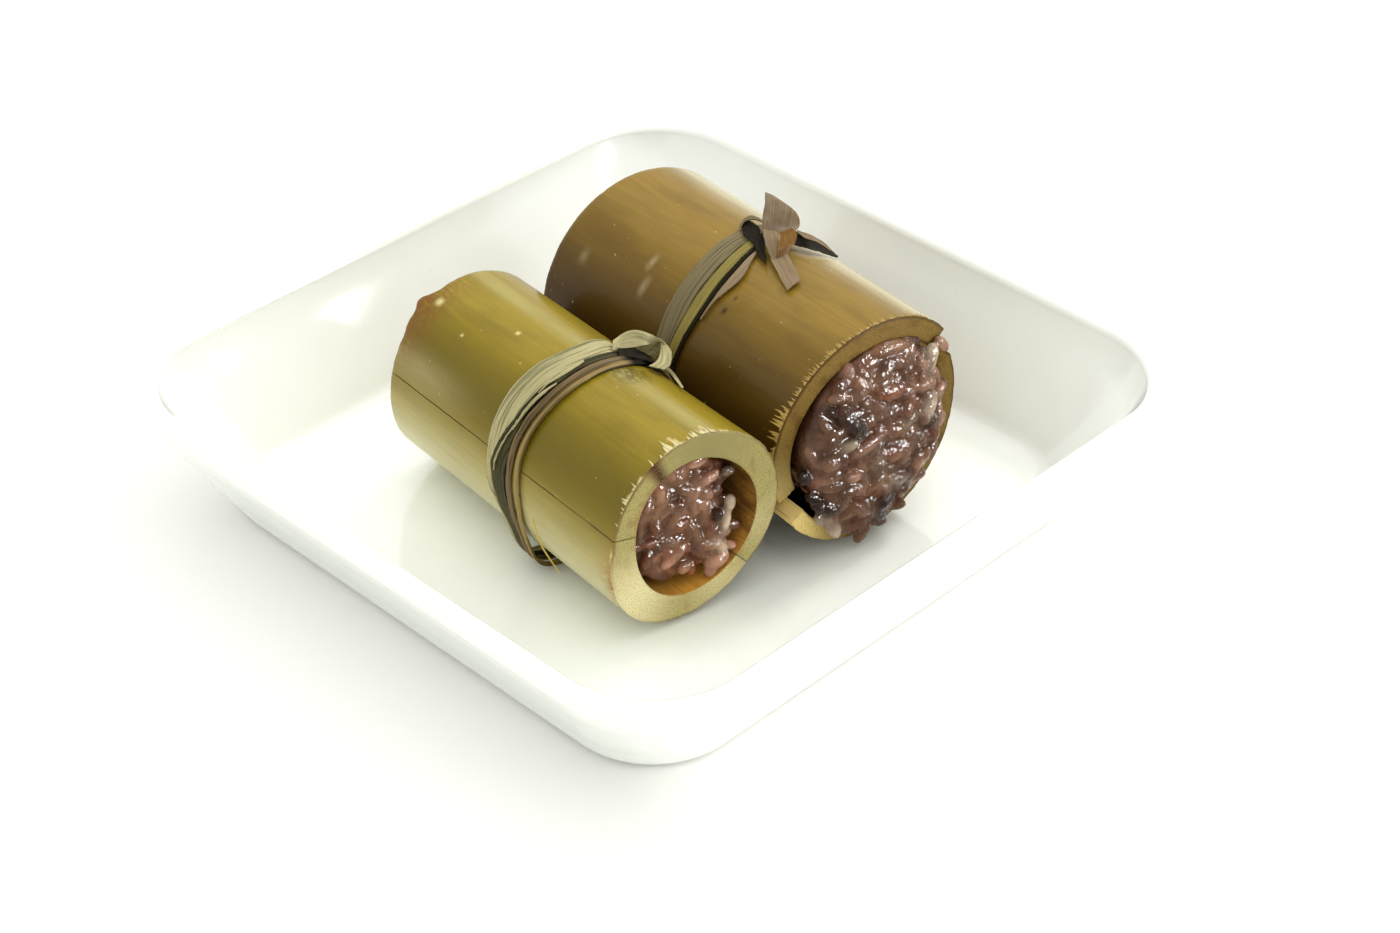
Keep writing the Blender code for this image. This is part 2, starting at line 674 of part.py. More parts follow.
def back_ties(winding, grey, yellow, dark, brown):
    """Two wide strips and a thin dark one round the culm, a leaf sliver, and the knot with its ends."""
    def left(turn):
        turn = turn % 360.0
        return 42.0 + 3.6 * smoothstep(95.0, 150.0, turn) - 3.6 * smoothstep(200.0, 340.0, turn)

    def right(turn):
        turn = turn % 360.0
        return 49.0 + 5.2 * smoothstep(80.0, 121.0, turn) - 5.2 * smoothstep(200.0, 340.0, turn)

    def slack(turn):
        return 1.15 * STRIP_LIFT / MM + 0.35 * bump(turn % 360.0, 115.0, 30.0)

    def grey_right(turn):
        return lerp(left(turn), right(turn), 0.52)

    def yellow_left(turn):
        return grey_right(turn) + STRIP_SPACE / MM

    def yellow_right(turn):
        return right(turn) - 1.2

    def dark_left(turn):
        return yellow_right(turn) + STRIP_SPACE / MM

    strip("back_grey_strip", winding.band(0.0, 360.0, left, grey_right, slack, ring=True), grey, ring=True)
    strip("back_yellow_strip", winding.band(0.0, 360.0, yellow_left, yellow_right, slack, ring=True),
          yellow, ring=True)
    strip("back_dark_strip", winding.band(0.0, 360.0, dark_left, right, slack, ring=True), dark, ring=True)

    def sliver_left(turn):
        return right(turn) + 0.5

    def sliver_right(turn):
        return sliver_left(turn) + 0.5 + 4.2 * bump(turn, 101.0, 13.0)

    strip("back_leaf_sliver", winding.band(86.0, 134.0, sliver_left, sliver_right, slack), brown)
    outward = winding.culm.direction(math.radians(79.0))
    knot = ellipsoid("back_knot", winding.place(50.5, 79.0, 2.6), winding.culm.axis, outward,
                     (4.6 * MM, 3.4 * MM, 1.5 * MM), (10, 6), brown)
    upright = winding.ribbon([
        (47.6, 84.0, 1.7, 50.0, 72.0, 1.7), (47.4, 83.0, 5.0, 49.0, 65.0, 3.6),
        (47.0, 82.0, 8.5, 48.6, 68.5, 7.2), (46.4, 81.5, 12.2, 46.8, 78.5, 11.2)])
    fold = winding.ribbon([
        (49.0, 84.0, 4.2, 51.0, 80.0, 1.8), (52.5, 85.5, 2.6, 55.0, 84.0, 1.2),
        (53.0, 78.0, 3.9, 56.0, 79.0, 1.4), (51.5, 70.5, 4.2, 54.5, 72.0, 1.6)])
    hanging = winding.ribbon([
        (53.0, 84.0, 2.0, 52.5, 79.0, 2.0), (59.0, 90.5, 1.3, 58.2, 84.5, 1.3),
        (65.0, 95.5, 1.0, 64.2, 88.5, 1.0), (71.0, 101.0, 0.9, 70.3, 92.5, 0.9)])
    pointed = winding.ribbon([
        (49.5, 74.0, 4.0, 53.0, 78.0, 1.7), (52.0, 65.0, 4.6, 56.0, 71.0, 1.5),
        (54.5, 58.0, 4.1, 58.0, 63.0, 1.4), (58.0, 51.0, 1.8, 58.8, 52.0, 1.3)])
    arch = winding.ribbon([
        (41.5, 88.5, 1.4, 45.0, 91.0, 1.4), (42.5, 86.0, 3.2, 46.0, 88.0, 3.0),
        (44.5, 81.0, 3.6, 48.0, 83.0, 3.2), (47.0, 78.0, 2.6, 50.0, 80.0, 2.4)])
    names = ("upright", "fold", "hanging", "pointed", "arch")
    ends = [strip(name, rows, brown) for name, rows in zip(names, (upright, fold, hanging, pointed, arch))]
    fuse(knot, ends)
    keep_largest(knot)


def grain(rng, centre, normal, surface):
    """One cooked grain, lying near the face it is stuck to."""
    helper = Vector((0.0, 0.0, 1.0)) if abs(normal.z) < 0.8 else Vector((0.0, 1.0, 0.0))
    first = normal.cross(helper).normalized()
    second = normal.cross(first)
    turn, tip = rng.uniform(0.0, math.pi), rng.uniform(-0.45, 0.45)
    long_axis = (first * math.cos(turn) + second * math.sin(turn)) * math.cos(tip) + normal * math.sin(tip)
    length = GRAIN_LENGTH * rng.uniform(0.82, 1.12)
    width = GRAIN_WIDTH * rng.uniform(0.88, 1.15)
    sizes = (length / 2.0, width / 2.0, width * 0.46)
    return ellipsoid("grain", centre, long_axis, normal, sizes, (5, 4), surface, GRAIN_BLUNTNESS)


def skin_points(mesh):
    """The corners and the edge middles of a mesh."""
    corners = [vertex.co for vertex in mesh.vertices]
    return corners + [(corners[edge.vertices[0]] + corners[edge.vertices[1]]) / 2.0 for edge in mesh.edges]


def heap(core, rng, spots, halves, surface):
    """Fuses grains to the core where they stay clear of the bamboo, deeper in where they have to be."""
    grains = []
    for centre, normal in spots:
        for attempt in range(8):
            piece = grain(rng, centre - normal * (0.2 * MM * attempt), normal, surface)
            if any(half.blocks(point, 2.0 * GAP) for half in halves for point in skin_points(piece.data)):
                bpy.data.objects.remove(piece)
                continue
            grains.append(piece)
            break
    fuse(core, grains, "MANIFOLD")
    keep_largest(core)


def even_spots(rng, count, reach_out):
    """Angles and shares of the radius spread evenly over a face, each a little off its place."""
    for index in range(count):
        part = math.sqrt((index + rng.uniform(0.1, 0.9)) / count)
        yield index * math.pi * (3.0 - math.sqrt(5.0)) + rng.uniform(-0.12, 0.12), part * reach_out


def front_rice(culm, halves, surface):
    """Rice that fills the culm from its node to just inside the mouth, shrunk from the wall at the right."""
    face = culm.length - 4.2 * MM

    def limit(along, angle):
        opened = smoothstep(culm.length - 24.0 * MM, culm.length - 6.0 * MM, along)
        right = 4.3 * MM * bump(angle_between(angle, math.radians(-8.0)), 0.0, math.radians(44.0))
        low = 2.4 * MM * bump(angle_between(angle, math.radians(-88.0)), 0.0, math.radians(26.0))
        return culm.inner(along, angle) - RICE_CLEARANCE - opened * (right + low)

    def on_face(angle, part):
        radius = part * limit(face, angle)
        to_the_right = smoothstep(0.0, 1.0, math.cos(angle + math.radians(20.0)))
        sag = -2.6 * MM * smoothstep(0.2, 1.0, part) * to_the_right
        rough = 1.1 * MM * noise.noise(Vector((math.cos(angle), math.sin(angle), 3.0)) * radius / (5.0 * MM))
        return culm.place(face + 1.2 * MM + sag + rough, angle, radius)

    angles = [2.0 * math.pi * index / RICE_SIDES for index in range(RICE_SIDES)]
    rings = []
    behind_the_face = [face - back * MM for back in (40.0, 14.0, 5.0, 0.0)]
    for along in (NODE_WALL[1] + GAP, *behind_the_face):
        rings.append([culm.place(along, angle, limit(along, angle)) for angle in angles])
    rings += [[on_face(angle, part) for angle in angles] for part in (0.86, 0.62, 0.36)]
    vertices, faces = loft(rings)
    core = add_object("front_rice", vertices, faces, surface, sharp_angle=math.pi)
    rng = random.Random(7)
    spots = [(on_face(angle, part), culm.axis) for angle, part in even_spots(rng, FRONT_GRAINS, 0.94)]
    heap(core, rng, spots, halves, surface)


def back_rice(upper, lower, surface):
    """Rice between the two displaced halves, swelling out of the mouth and down over the lower rim."""
    top, bottom = upper.culm, lower.culm
    mouth = bottom.length

    def middle(along):
        """Halfway between the two axes, in the plane across the lower culm."""
        point = top.middle(along).lerp(bottom.middle(along), 0.5)
        return point + bottom.axis * (along - (point - bottom.origin).dot(bottom.axis))

    def cavity(along, angle):
        direction = bottom.direction(angle)
        return min(reach(middle(along), direction, culm, along, RICE_CLEARANCE) for culm in (top, bottom))

    def drop(angle):
        """How much of the dome's edge spreads over the lower rim."""
        return bump(angle_between(angle, math.radians(-110.0)), 0.0, math.radians(36.0))

    def on_face(angle, part):
        """The dome of rice: flat in the middle, sunk at the upper left, spread down over the lower rim."""
        spread = 5.0 * MM * drop(angle) * lerp(0.8, 1.0, smoothstep(0.84, 1.0, part))
        radius = part * (cavity(mouth, angle) + spread)
        sunk = 2.6 * MM * bump(angle_between(angle, math.radians(155.0)), 0.0, math.radians(62.0))
        rim = lower.near_end(angle) - mouth
        out = (RICE_DOME - (3.4 * MM + sunk) * part ** 4) * (1.0 - 0.25 * math.sin(angle) * part)
        out += rim * part ** 2 + 1.0 * MM * noise.noise(bottom.direction(angle) * radius / (6.0 * MM))
        return middle(mouth + out) + bottom.direction(angle) * radius

    def skirt(angle, back, share):
        """The edge of the dome where it turns back, between the cavity and its own full spread."""
        edge = on_face(angle, 1.0) - middle(mouth)
        along = min(lower.near_end(angle) + 0.45 * MM, mouth + edge.dot(bottom.axis) - 0.8 * MM) - back
        radius = cavity(mouth, angle) + 5.0 * MM * drop(angle) * share
        return middle(along) + bottom.direction(angle) * radius

    angles = [2.0 * math.pi * index / RICE_SIDES for index in range(RICE_SIDES)]
    rings = []
    for along in (NODE_WALL[1] + RICE_CLEARANCE, mouth * 0.5, mouth - 5.0 * MM):
        rings.append([middle(along) + bottom.direction(angle) * cavity(along, angle) for angle in angles])
    rings.append([skirt(angle, 0.9 * MM * (1.0 - drop(angle)), 0.0) for angle in angles])
    rings.append([skirt(angle, 0.0, 1.0) for angle in angles])
    rings += [[on_face(angle, part) for angle in angles] for part in (1.0, 0.84, 0.6, 0.32)]
    vertices, faces = loft(rings)
    core = add_object("back_rice", vertices, faces, surface, sharp_angle=math.pi)
    centre = middle(mouth - 12.0 * MM)
    rng = random.Random(13)
    spots = []
    for angle, part in even_spots(rng, BACK_GRAINS, 1.0):
        point = on_face(angle, part)
        spots.append((point, (point - centre).normalized().lerp(bottom.axis, 0.5).normalized()))
    for turn, back in SPLIT_GRAINS:
        angle = math.radians(turn)
        outward = bottom.direction(angle)
        spots.append((middle(mouth - back * MM) + outward * (cavity(mouth, angle) + 1.6 * MM), outward))
    heap(core, rng, spots, (upper, lower), surface)


def main():
    for old in list(bpy.data.objects):
        bpy.data.objects.remove(old)
    porcelain = material("white glazed porcelain", (0.80, 0.82, 0.76), 0.12)
    green_bark = material("olive bamboo", (0.29, 0.235, 0.032), 0.35)
    brown_bark = material("brown bamboo", (0.25, 0.15, 0.045), 0.35)
    cream_leaf = material("pale leaf", (0.62, 0.58, 0.34), 0.5)
    dark_leaf = material("dark leaf", (0.02, 0.022, 0.012), 0.5)
    mauve_leaf = material("mauve leaf", (0.24, 0.19, 0.12), 0.5)
    tan_leaf = material("tan leaf", (0.32, 0.25, 0.10), 0.5)
    grey_leaf = material("grey leaf", (0.22, 0.20, 0.10), 0.5)
    yellow_leaf = material("yellow leaf", (0.36, 0.32, 0.12), 0.5)
    rice = material("purple rice", (0.20, 0.09, 0.075), 0.25)
    dish(porcelain)

    front = front_culm()
    upper, lower = front_halves(front)
    add_object("front_upper_half", *upper.solid(), green_bark)
    front_lower = add_object("front_lower_half", *lower.solid(), green_bark)
    fuse(front_lower, [node_wall(lower, [], 1.5 * GAP, green_bark)])
    front_ties(Winding(front, (upper, lower)), cream_leaf, dark_leaf, mauve_leaf, tan_leaf)
    front_rice(front, (upper, lower), rice)

    back_top = back_upper_half(back_culm())
    back_bottom = back_lower_half(back_lower_culm())
    add_object("back_upper_half", *back_top.solid(), brown_bark)
    back_lower = add_object("back_lower_half", *back_bottom.solid(), brown_bark)
    fuse(back_lower, [node_wall(back_bottom, [back_top], 2.0 * GAP, brown_bark)])
    back_ties(Winding(back_top.culm, (back_top, back_bottom)), grey_leaf, yellow_leaf, dark_leaf, mauve_leaf)
    back_rice(back_top, back_bottom, rice)


main()
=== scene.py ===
"""Bamboo tube rice on a square dish: the finish of every surface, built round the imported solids.

Two lengths of bamboo, each split in halves and tied shut with leaf strips, hold sticky purple rice.
A place on a culm is given by its distance from the far end, its angle round the axis (0 on the +Y
side, 90 degrees on top) and its distance from the axis. Sizes in formulas are in metres unless a
name or a docstring says millimetres.
"""

import math
import random

import bmesh
import bpy
import numpy as np
from bpy.props import FloatProperty, FloatVectorProperty, IntProperty, PointerProperty
from mathutils import Matrix, Vector, noise


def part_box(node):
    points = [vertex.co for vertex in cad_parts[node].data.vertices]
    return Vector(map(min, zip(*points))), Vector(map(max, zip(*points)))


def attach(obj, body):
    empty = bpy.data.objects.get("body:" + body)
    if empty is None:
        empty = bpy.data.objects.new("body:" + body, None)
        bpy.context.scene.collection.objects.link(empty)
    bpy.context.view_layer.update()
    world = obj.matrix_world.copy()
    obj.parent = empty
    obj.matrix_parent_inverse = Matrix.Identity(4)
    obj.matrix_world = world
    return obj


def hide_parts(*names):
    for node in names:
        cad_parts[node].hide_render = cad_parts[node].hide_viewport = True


bl_info = {
    "name": "Bamboo Tube Rice",
    "version": (1, 0, 0),
    "blender": (4, 5, 0),
    "location": "View3D > Sidebar > Bamboo Rice",
    "description": "Sticky purple rice in two tied bamboo culms on a square porcelain dish",
    "category": "Add Mesh",
}

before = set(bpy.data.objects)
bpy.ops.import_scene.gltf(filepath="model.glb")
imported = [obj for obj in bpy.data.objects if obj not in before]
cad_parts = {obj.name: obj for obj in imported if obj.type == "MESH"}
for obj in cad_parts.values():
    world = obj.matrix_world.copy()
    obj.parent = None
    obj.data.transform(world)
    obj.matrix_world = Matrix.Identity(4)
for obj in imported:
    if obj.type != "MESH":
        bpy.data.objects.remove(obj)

MM = 0.001
DEGREE = math.pi / 180.0
FULL_TURN = 2.0 * math.pi
OCTAVES = 4

# Places of the culms, shared by the pieces that lie on them
FRONT_NEAR = (44.6 * MM, -31.05 * MM)
FRONT_TURN = -6.15 * DEGREE
FRONT_CRACKS = (-48.5 * DEGREE, 166.5 * DEGREE)
BACK_NEAR = (48.8 * MM, 23.55 * MM, 32.8 * MM)
BACK_TURN = -8.55 * DEGREE
BACK_TILT = 4.33 * DEGREE
LOWER_NEAR = (50.0 * MM, 20.45 * MM)
LOWER_TURN = -7.74 * DEGREE
NODE_WALL = (5.0 * MM, 8.0 * MM)


def shade(red, green, blue):
    """A colour in linear light from its display values, which run from 0 to 255."""
    def linear(value):
        value /= 255.0
        return value / 12.92 if value <= 0.04045 else ((value + 0.055) / 1.055) ** 2.4
    return linear(red), linear(green), linear(blue)


def number(name, description, default, **kind):
    return FloatProperty(name=name, description=description, default=default, **kind)


def distance(name, description, default):
    return number(name, description, default, unit="LENGTH", precision=5)


def colour(name, description, default):
    return FloatVectorProperty(name=name, description=description, default=default, subtype="COLOR",
                               size=3, min=0.0, max=1.0)


class DishSettings(bpy.types.PropertyGroup):
    lip_half: distance("Lip half width", "From the middle of the dish to the middle of its lip", 95.0 * MM)
    lip_corner: distance("Lip corner", "Radius of the dish's corners at the lip", 25.6 * MM)
    lip_radius: distance("Lip radius", "Half the thickness of the rolled lip", 2.8 * MM)
    height: distance("Height", "Height of the dish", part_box("dish")[1].z)
    base_half: distance("Base half width", "Half the width of the dish at its foot", 79.9 * MM)
    base_corner: distance("Base corner", "Radius of the dish's corners at the foot", 22.2 * MM)
    wall: distance("Wall", "Thickness of the wall near the floor", 4.2 * MM)
    floor_top: distance("Floor top", "Height of the floor inside the dish", 3.0 * MM)
    fillet: distance("Fillet", "Radius where the wall bends into the floor", 7.0 * MM)
    glaze: colour("Glaze", "Colour of the porcelain", (0.942, 0.965, 0.918))


class FrontCulmSettings(bpy.types.PropertyGroup):
    length: distance("Length", "Length of the front culm", 90.2 * MM)
    far_radius: distance("Far radius", "Radius of the bark at the far end", 23.56 * MM)
    near_radius: distance("Near radius", "Radius of the bark at the mouth", 24.14 * MM)
    wall: distance("Wall", "Thickness of the bamboo", 6.57 * MM)
    crack: distance("Crack", "Mean width of the crack between the halves", 0.20 * MM)
    rest: distance("Rest height", "Height of the lowest bark over the table", 4.8 * MM)
    bark: colour("Bark", "Olive bark on top", shade(152, 131, 32))
    # Waxy bloom that also stands for a painted reflection of the dish low on the sides.
    wax_and_sheen: colour("Wax", "Paler waxy bark low on the sides", shade(208, 203, 160))
    wood: colour("Wood", "Sawn end of the bamboo", shade(188, 175, 112))


class BackCulmSettings(bpy.types.PropertyGroup):
    length: distance("Length", "Length of the upper half", 92.0 * MM)
    far_radius: distance("Far radius", "Radius of the bark at the far end", 31.39 * MM)
    near_radius: distance("Near radius", "Radius of the bark at the mouth", 28.99 * MM)
    wall: distance("Wall", "Thickness of the upper half", 5.66 * MM)
    lower_length: distance("Lower length", "Length of the lower half", 91.5 * MM)
    lower_wall: distance("Lower wall", "Thickness of the lower half", 4.6 * MM)
    rest: distance("Rest height", "Height of the lowest bark over the table", 4.5 * MM)
    bark: colour("Bark", "Brown bark on top", shade(144, 114, 38))
    # Whitish bloom that also stands for a painted sheen high on the far side.
    wax_and_sheen: colour("Wax", "Whitish bloom on the bark", shade(212, 212, 176))
    wood: colour("Wood", "Sawn end of the bamboo", shade(140, 112, 52))


class TieSettings(bpy.types.PropertyGroup):
    thickness: distance("Thickness", "Thickness of a leaf strip", 0.34 * MM)
    lift: distance("Lift", "Room under a tight strip", 0.37 * MM)
    space: distance("Space", "Room between two strips", 0.36 * MM)
    cream: colour("Pale leaf", "The wide leaf of the front tie", shade(188, 178, 132))
    dark: colour("Dark leaf", "The streaky dark strips", shade(76, 72, 46))
    mauve: colour("Mauve leaf", "The thin rolled strip beside the dark one", shade(130, 110, 78))
    tan: colour("Tan leaf", "The strip at the edge of the front tie", shade(158, 136, 84))
    grey: colour("Grey leaf", "The left strip of the back tie", shade(126, 114, 82))
    yellow: colour("Yellow leaf", "The right strip of the back tie", shade(142, 128, 68))
    brown: colour("Brown leaf", "The knot of the back tie and its ends", shade(146, 126, 98))
    rust: colour("Rust leaf", "The darker fold of the back knot", shade(122, 86, 32))


class RiceSettings(bpy.types.PropertyGroup):
    grain_length: distance("Grain length", "Mean length of a cooked grain", 7.2 * MM)
    grain_width: distance("Grain width", "Mean width of a cooked grain", 3.5 * MM)
    clearance: distance("Clearance", "Room between the rice and the bamboo", 0.5 * MM)
    voxel: distance("Melt", "Size of detail left when the grains stick together", 0.26 * MM)
    front_count: IntProperty(name="Front grains", description="Grains at the front mouth", default=70)
    back_count: IntProperty(name="Back grains", description="Grains at the back mouth", default=230)
    plum: colour("Plum", "Dark purple grains", shade(108, 68, 46))
    mauve: colour("Mauve", "Greyish purple grains", shade(152, 112, 84))
    pink: colour("Pink", "Translucent pink grains", shade(180, 134, 108))
    red: colour("Red", "Reddish grains", shade(138, 80, 54))
    pale: colour("Pale", "Whitish grains", shade(212, 192, 166))
    black: colour("Black", "Grains with their black skin", shade(26, 11, 5))
    # Dark starch colour, also used as painted shade in the creases between grains.
    film_and_shade: colour("Film", "Dark starch between the grains", shade(60, 34, 24))


class StageSettings(bpy.types.PropertyGroup):
    floor: colour("Floor", "Colour of the table", (0.92, 0.925, 0.90))
    key: number("Key light", "Power of the soft light behind the dish", 2.0, unit="POWER")
    glint: number("Glint light", "Power of the light that glints on the rice", 34.0, unit="POWER")
    ceiling: number("Ceiling light", "Power of the wide light overhead", 9.0, unit="POWER")
    sky: number("Sky", "Strength of the light from all round", 1.0)
    elevation: number("Elevation", "Angle of the camera over the table", 36.26 * DEGREE, subtype="ANGLE")
    azimuth: number("Azimuth", "Turn of the camera round the dish", 44.394 * DEGREE, subtype="ANGLE")
    roll: number("Roll", "Turn of the camera about its own view", 0.149 * DEGREE, subtype="ANGLE")
    distance: distance("Distance", "From the camera to the point it looks at", 720.75 * MM)
    focal: number("Focal length", "Of the lens on a sensor 36 mm wide, in mm", 75.84)


def lerp(start, end, part):
    return start + (end - start) * part


def smoothstep(edge0, edge1, value):
    part = np.clip((value - edge0) / (edge1 - edge0), 0.0, 1.0)
    return part * part * (3.0 - 2.0 * part)


def bump(value, centre, width):
    return np.exp(-(((value - centre) / width) ** 2))


def unit(vector):
    return vector / np.linalg.norm(vector)


def patches(across, along, seed):
    """Smooth noise over a plane, from 0 to 1, for arrays of places."""
    column, row = np.floor(across), np.floor(along)
    u, v = across - column, along - row
    u, v = u * u * (3.0 - 2.0 * u), v * v * (3.0 - 2.0 * v)

    def corner(right, up):
        mixed = np.sin((column + right) * 127.1 + (row + up) * 311.7 + seed * 74.7) * 43758.5453
        return mixed - np.floor(mixed)

    low = lerp(corner(0.0, 0.0), corner(1.0, 0.0), u)
    high = lerp(corner(0.0, 1.0), corner(1.0, 1.0), u)
    return lerp(low, high, v)


def rough(across, along, seed):
    """Noise with finer and finer detail, from about -1 to 1."""
    total, share = 0.0, 1.0
    for octave in range(OCTAVES):
        total = total + share * (patches(across * 2.0 ** octave, along * 2.0 ** octave, seed + octave) - 0.5)
        share *= 0.5
    return total


class Culm:
    """A length of bamboo: its axis, its sizes and the outline of its bark."""

    def __init__(self, near, turn, tilt, length, radii, wall, outer_wobble=(), inner_wobble=()):
        flat = math.cos(tilt)
        self.axis = np.array((math.cos(turn) * flat, math.sin(turn) * flat, math.sin(tilt)))
        self.side = unit(np.cross((0.0, 0.0, 1.0), self.axis))
        self.up = np.cross(self.axis, self.side)
        self.length = length
        self.origin = np.array(near) - self.axis * length
        self.far_radius, self.near_radius = radii
        self.wall = wall
        self.outer_wobble = outer_wobble
        self.inner_wobble = inner_wobble

    def middle(self, along):
        return self.origin + np.multiply.outer(along, self.axis)

    def mean_radius(self, along):
        return lerp(self.far_radius, self.near_radius, along / self.length)

    def outer(self, along, angle):
        return self.mean_radius(along) * out_of_round(self.outer_wobble, angle)

    def inner(self, along, angle):
        return (self.mean_radius(along) - self.wall) * out_of_round(self.inner_wobble, angle)

    def direction(self, angle):
        return np.multiply.outer(np.cos(angle), self.side) + np.multiply.outer(np.sin(angle), self.up)

    def place(self, along, angle, radius):
        return self.middle(along) + self.direction(angle) * np.asarray(radius)[..., None]

    def arc(self, angle):
        """The length round the bark to an angle, in millimetres."""
        return angle * self.near_radius / MM


def out_of_round(wobble, angle):
    """The share of the mean radius at an angle; a wobble's terms hold its turns, size and phase."""
    return 1.0 + sum(size * np.cos(turns * (angle + phase)) for turns, size, phase in wobble)


def angle_between(angle, centre):
    """The signed turn from centre to angle, between minus and plus half a turn."""
    return (angle - centre + math.pi) % FULL_TURN - math.pi


def around(count):
    """Even angles once round."""
    return np.linspace(0.0, FULL_TURN, count + 1)[:-1]


def bulge(angle, centre, width):
    """A soft hump round a culm, with its centre and its width in degrees."""
    return bump(angle_between(angle, centre * DEGREE), 0.0, width * DEGREE)


class Half:
    """The part of a culm between two lengthwise cuts, whose angles may change along it."""

    def __init__(self, culm, far_cuts, near_cuts, near_end, far_end):
        self.culm = culm
        self.far_cuts = far_cuts
        self.near_cuts = near_cuts
        self.near_end = near_end
        self.far_end = far_end

    def cuts(self, along):
        part = along / self.culm.length
        return tuple(lerp(far, near, part) for far, near in zip(self.far_cuts, self.near_cuts))


def slanted_end(culm, aside, up):
    """A sawn mouth whose plane leans aside and up, by shares of the radius."""
    return lambda angle: culm.length + culm.near_radius * (aside * np.cos(angle) + up * np.sin(angle))


def worn_end(culm, seed):
    """A far end that the saw left slightly uneven."""
    return lambda angle: -0.16 * MM * rough(culm.arc(angle) / 3.0, 0.0 * angle, seed)


def front_halves(settings):
    """The upper and the lower half, which the ties hold shut over a hairline crack on each side."""
    centre = (*FRONT_NEAR, settings.rest + settings.near_radius)
    radii = (settings.far_radius, settings.near_radius)
    tilt = math.atan2(settings.near_radius - settings.far_radius, settings.length)
    culm = Culm(centre, FRONT_TURN, tilt, settings.length, radii, settings.wall,
                outer_wobble=((2, -0.040, 0.60), (3, 0.022, 0.06)),
                inner_wobble=((1, 0.030, 0.35), (2, 0.040, 1.50), (3, 0.024, 0.01)))
    gap = settings.crack / (settings.far_radius - settings.wall)
    right, left = FRONT_CRACKS

    def torn_end(angle):
        """The far end, with a splintered corner."""
        turn = angle_between(angle, 118.0 * DEGREE) / DEGREE
        fibres = rough(culm.arc(angle) / 2.6, 0.0 * angle, 5)
        ear = 2.4 * bump(turn, 0.0, 7.0) + 0.9 * bump(turn, 14.0, 6.0)
        ear += (0.16 + 0.4 * bump(turn, 0.0, 26.0)) * fibres
        return -MM * np.maximum(ear, -0.4)

    upper_cuts = (right + gap / 2.0, left - gap / 2.0)
    lower_cuts = (left + gap / 2.0, right + FULL_TURN - gap / 2.0)
    near_end = slanted_end(culm, 0.058, -0.020)
    return (Half(culm, upper_cuts, upper_cuts, near_end, torn_end),
            Half(culm, lower_cuts, lower_cuts, near_end, worn_end(culm, 6)))


def back_halves(settings):
    """The tilted upper half and the flat lower half, with rice showing between them at both sides."""
    radii = (settings.far_radius, settings.near_radius)
    top = Culm(BACK_NEAR, BACK_TURN, BACK_TILT, settings.length, radii, settings.wall)
    centre = (*LOWER_NEAR, settings.rest + settings.near_radius)
    bottom = Culm(centre, LOWER_TURN, 0.0, settings.lower_length, (settings.near_radius,) * 2,
                  settings.lower_wall)

    def bottom_end(angle):
        return bottom.length + 1.7 * MM * (1.0 - np.cos(angle - 45.0 * DEGREE))

    far_end = worn_end(top, 7)
    return (Half(top, (8.0 * DEGREE, 183.0 * DEGREE), (40.0 * DEGREE, 207.0 * DEGREE),
                 slanted_end(top, -0.010, 0.145), far_end),
            Half(bottom, (207.5 * DEGREE, 350.0 * DEGREE), (213.0 * DEGREE, 380.0 * DEGREE),
                 bottom_end, far_end))


# Shader graphs


class Wire:
    """One output of a shader node. Sums of wires and numbers add the Math nodes that work them out."""

    def __init__(self, finish, socket):
        self.finish = finish
        self.socket = socket

    def work_out(self, operation, first, second):
        return self.finish.node("ShaderNodeMath", {"operation": operation}, {0: first, 1: second})

    def __add__(self, other):
        return self.work_out("ADD", self, other)

    def __sub__(self, other):
        return self.work_out("SUBTRACT", self, other)

    def __rsub__(self, other):
        return self.work_out("SUBTRACT", other, self)

    def __mul__(self, other):
        return self.work_out("MULTIPLY", self, other)

    def __truediv__(self, other):
        return self.work_out("DIVIDE", self, other)

    def __rtruediv__(self, other):
        return self.work_out("DIVIDE", other, self)

    __radd__ = __add__
    __rmul__ = __mul__


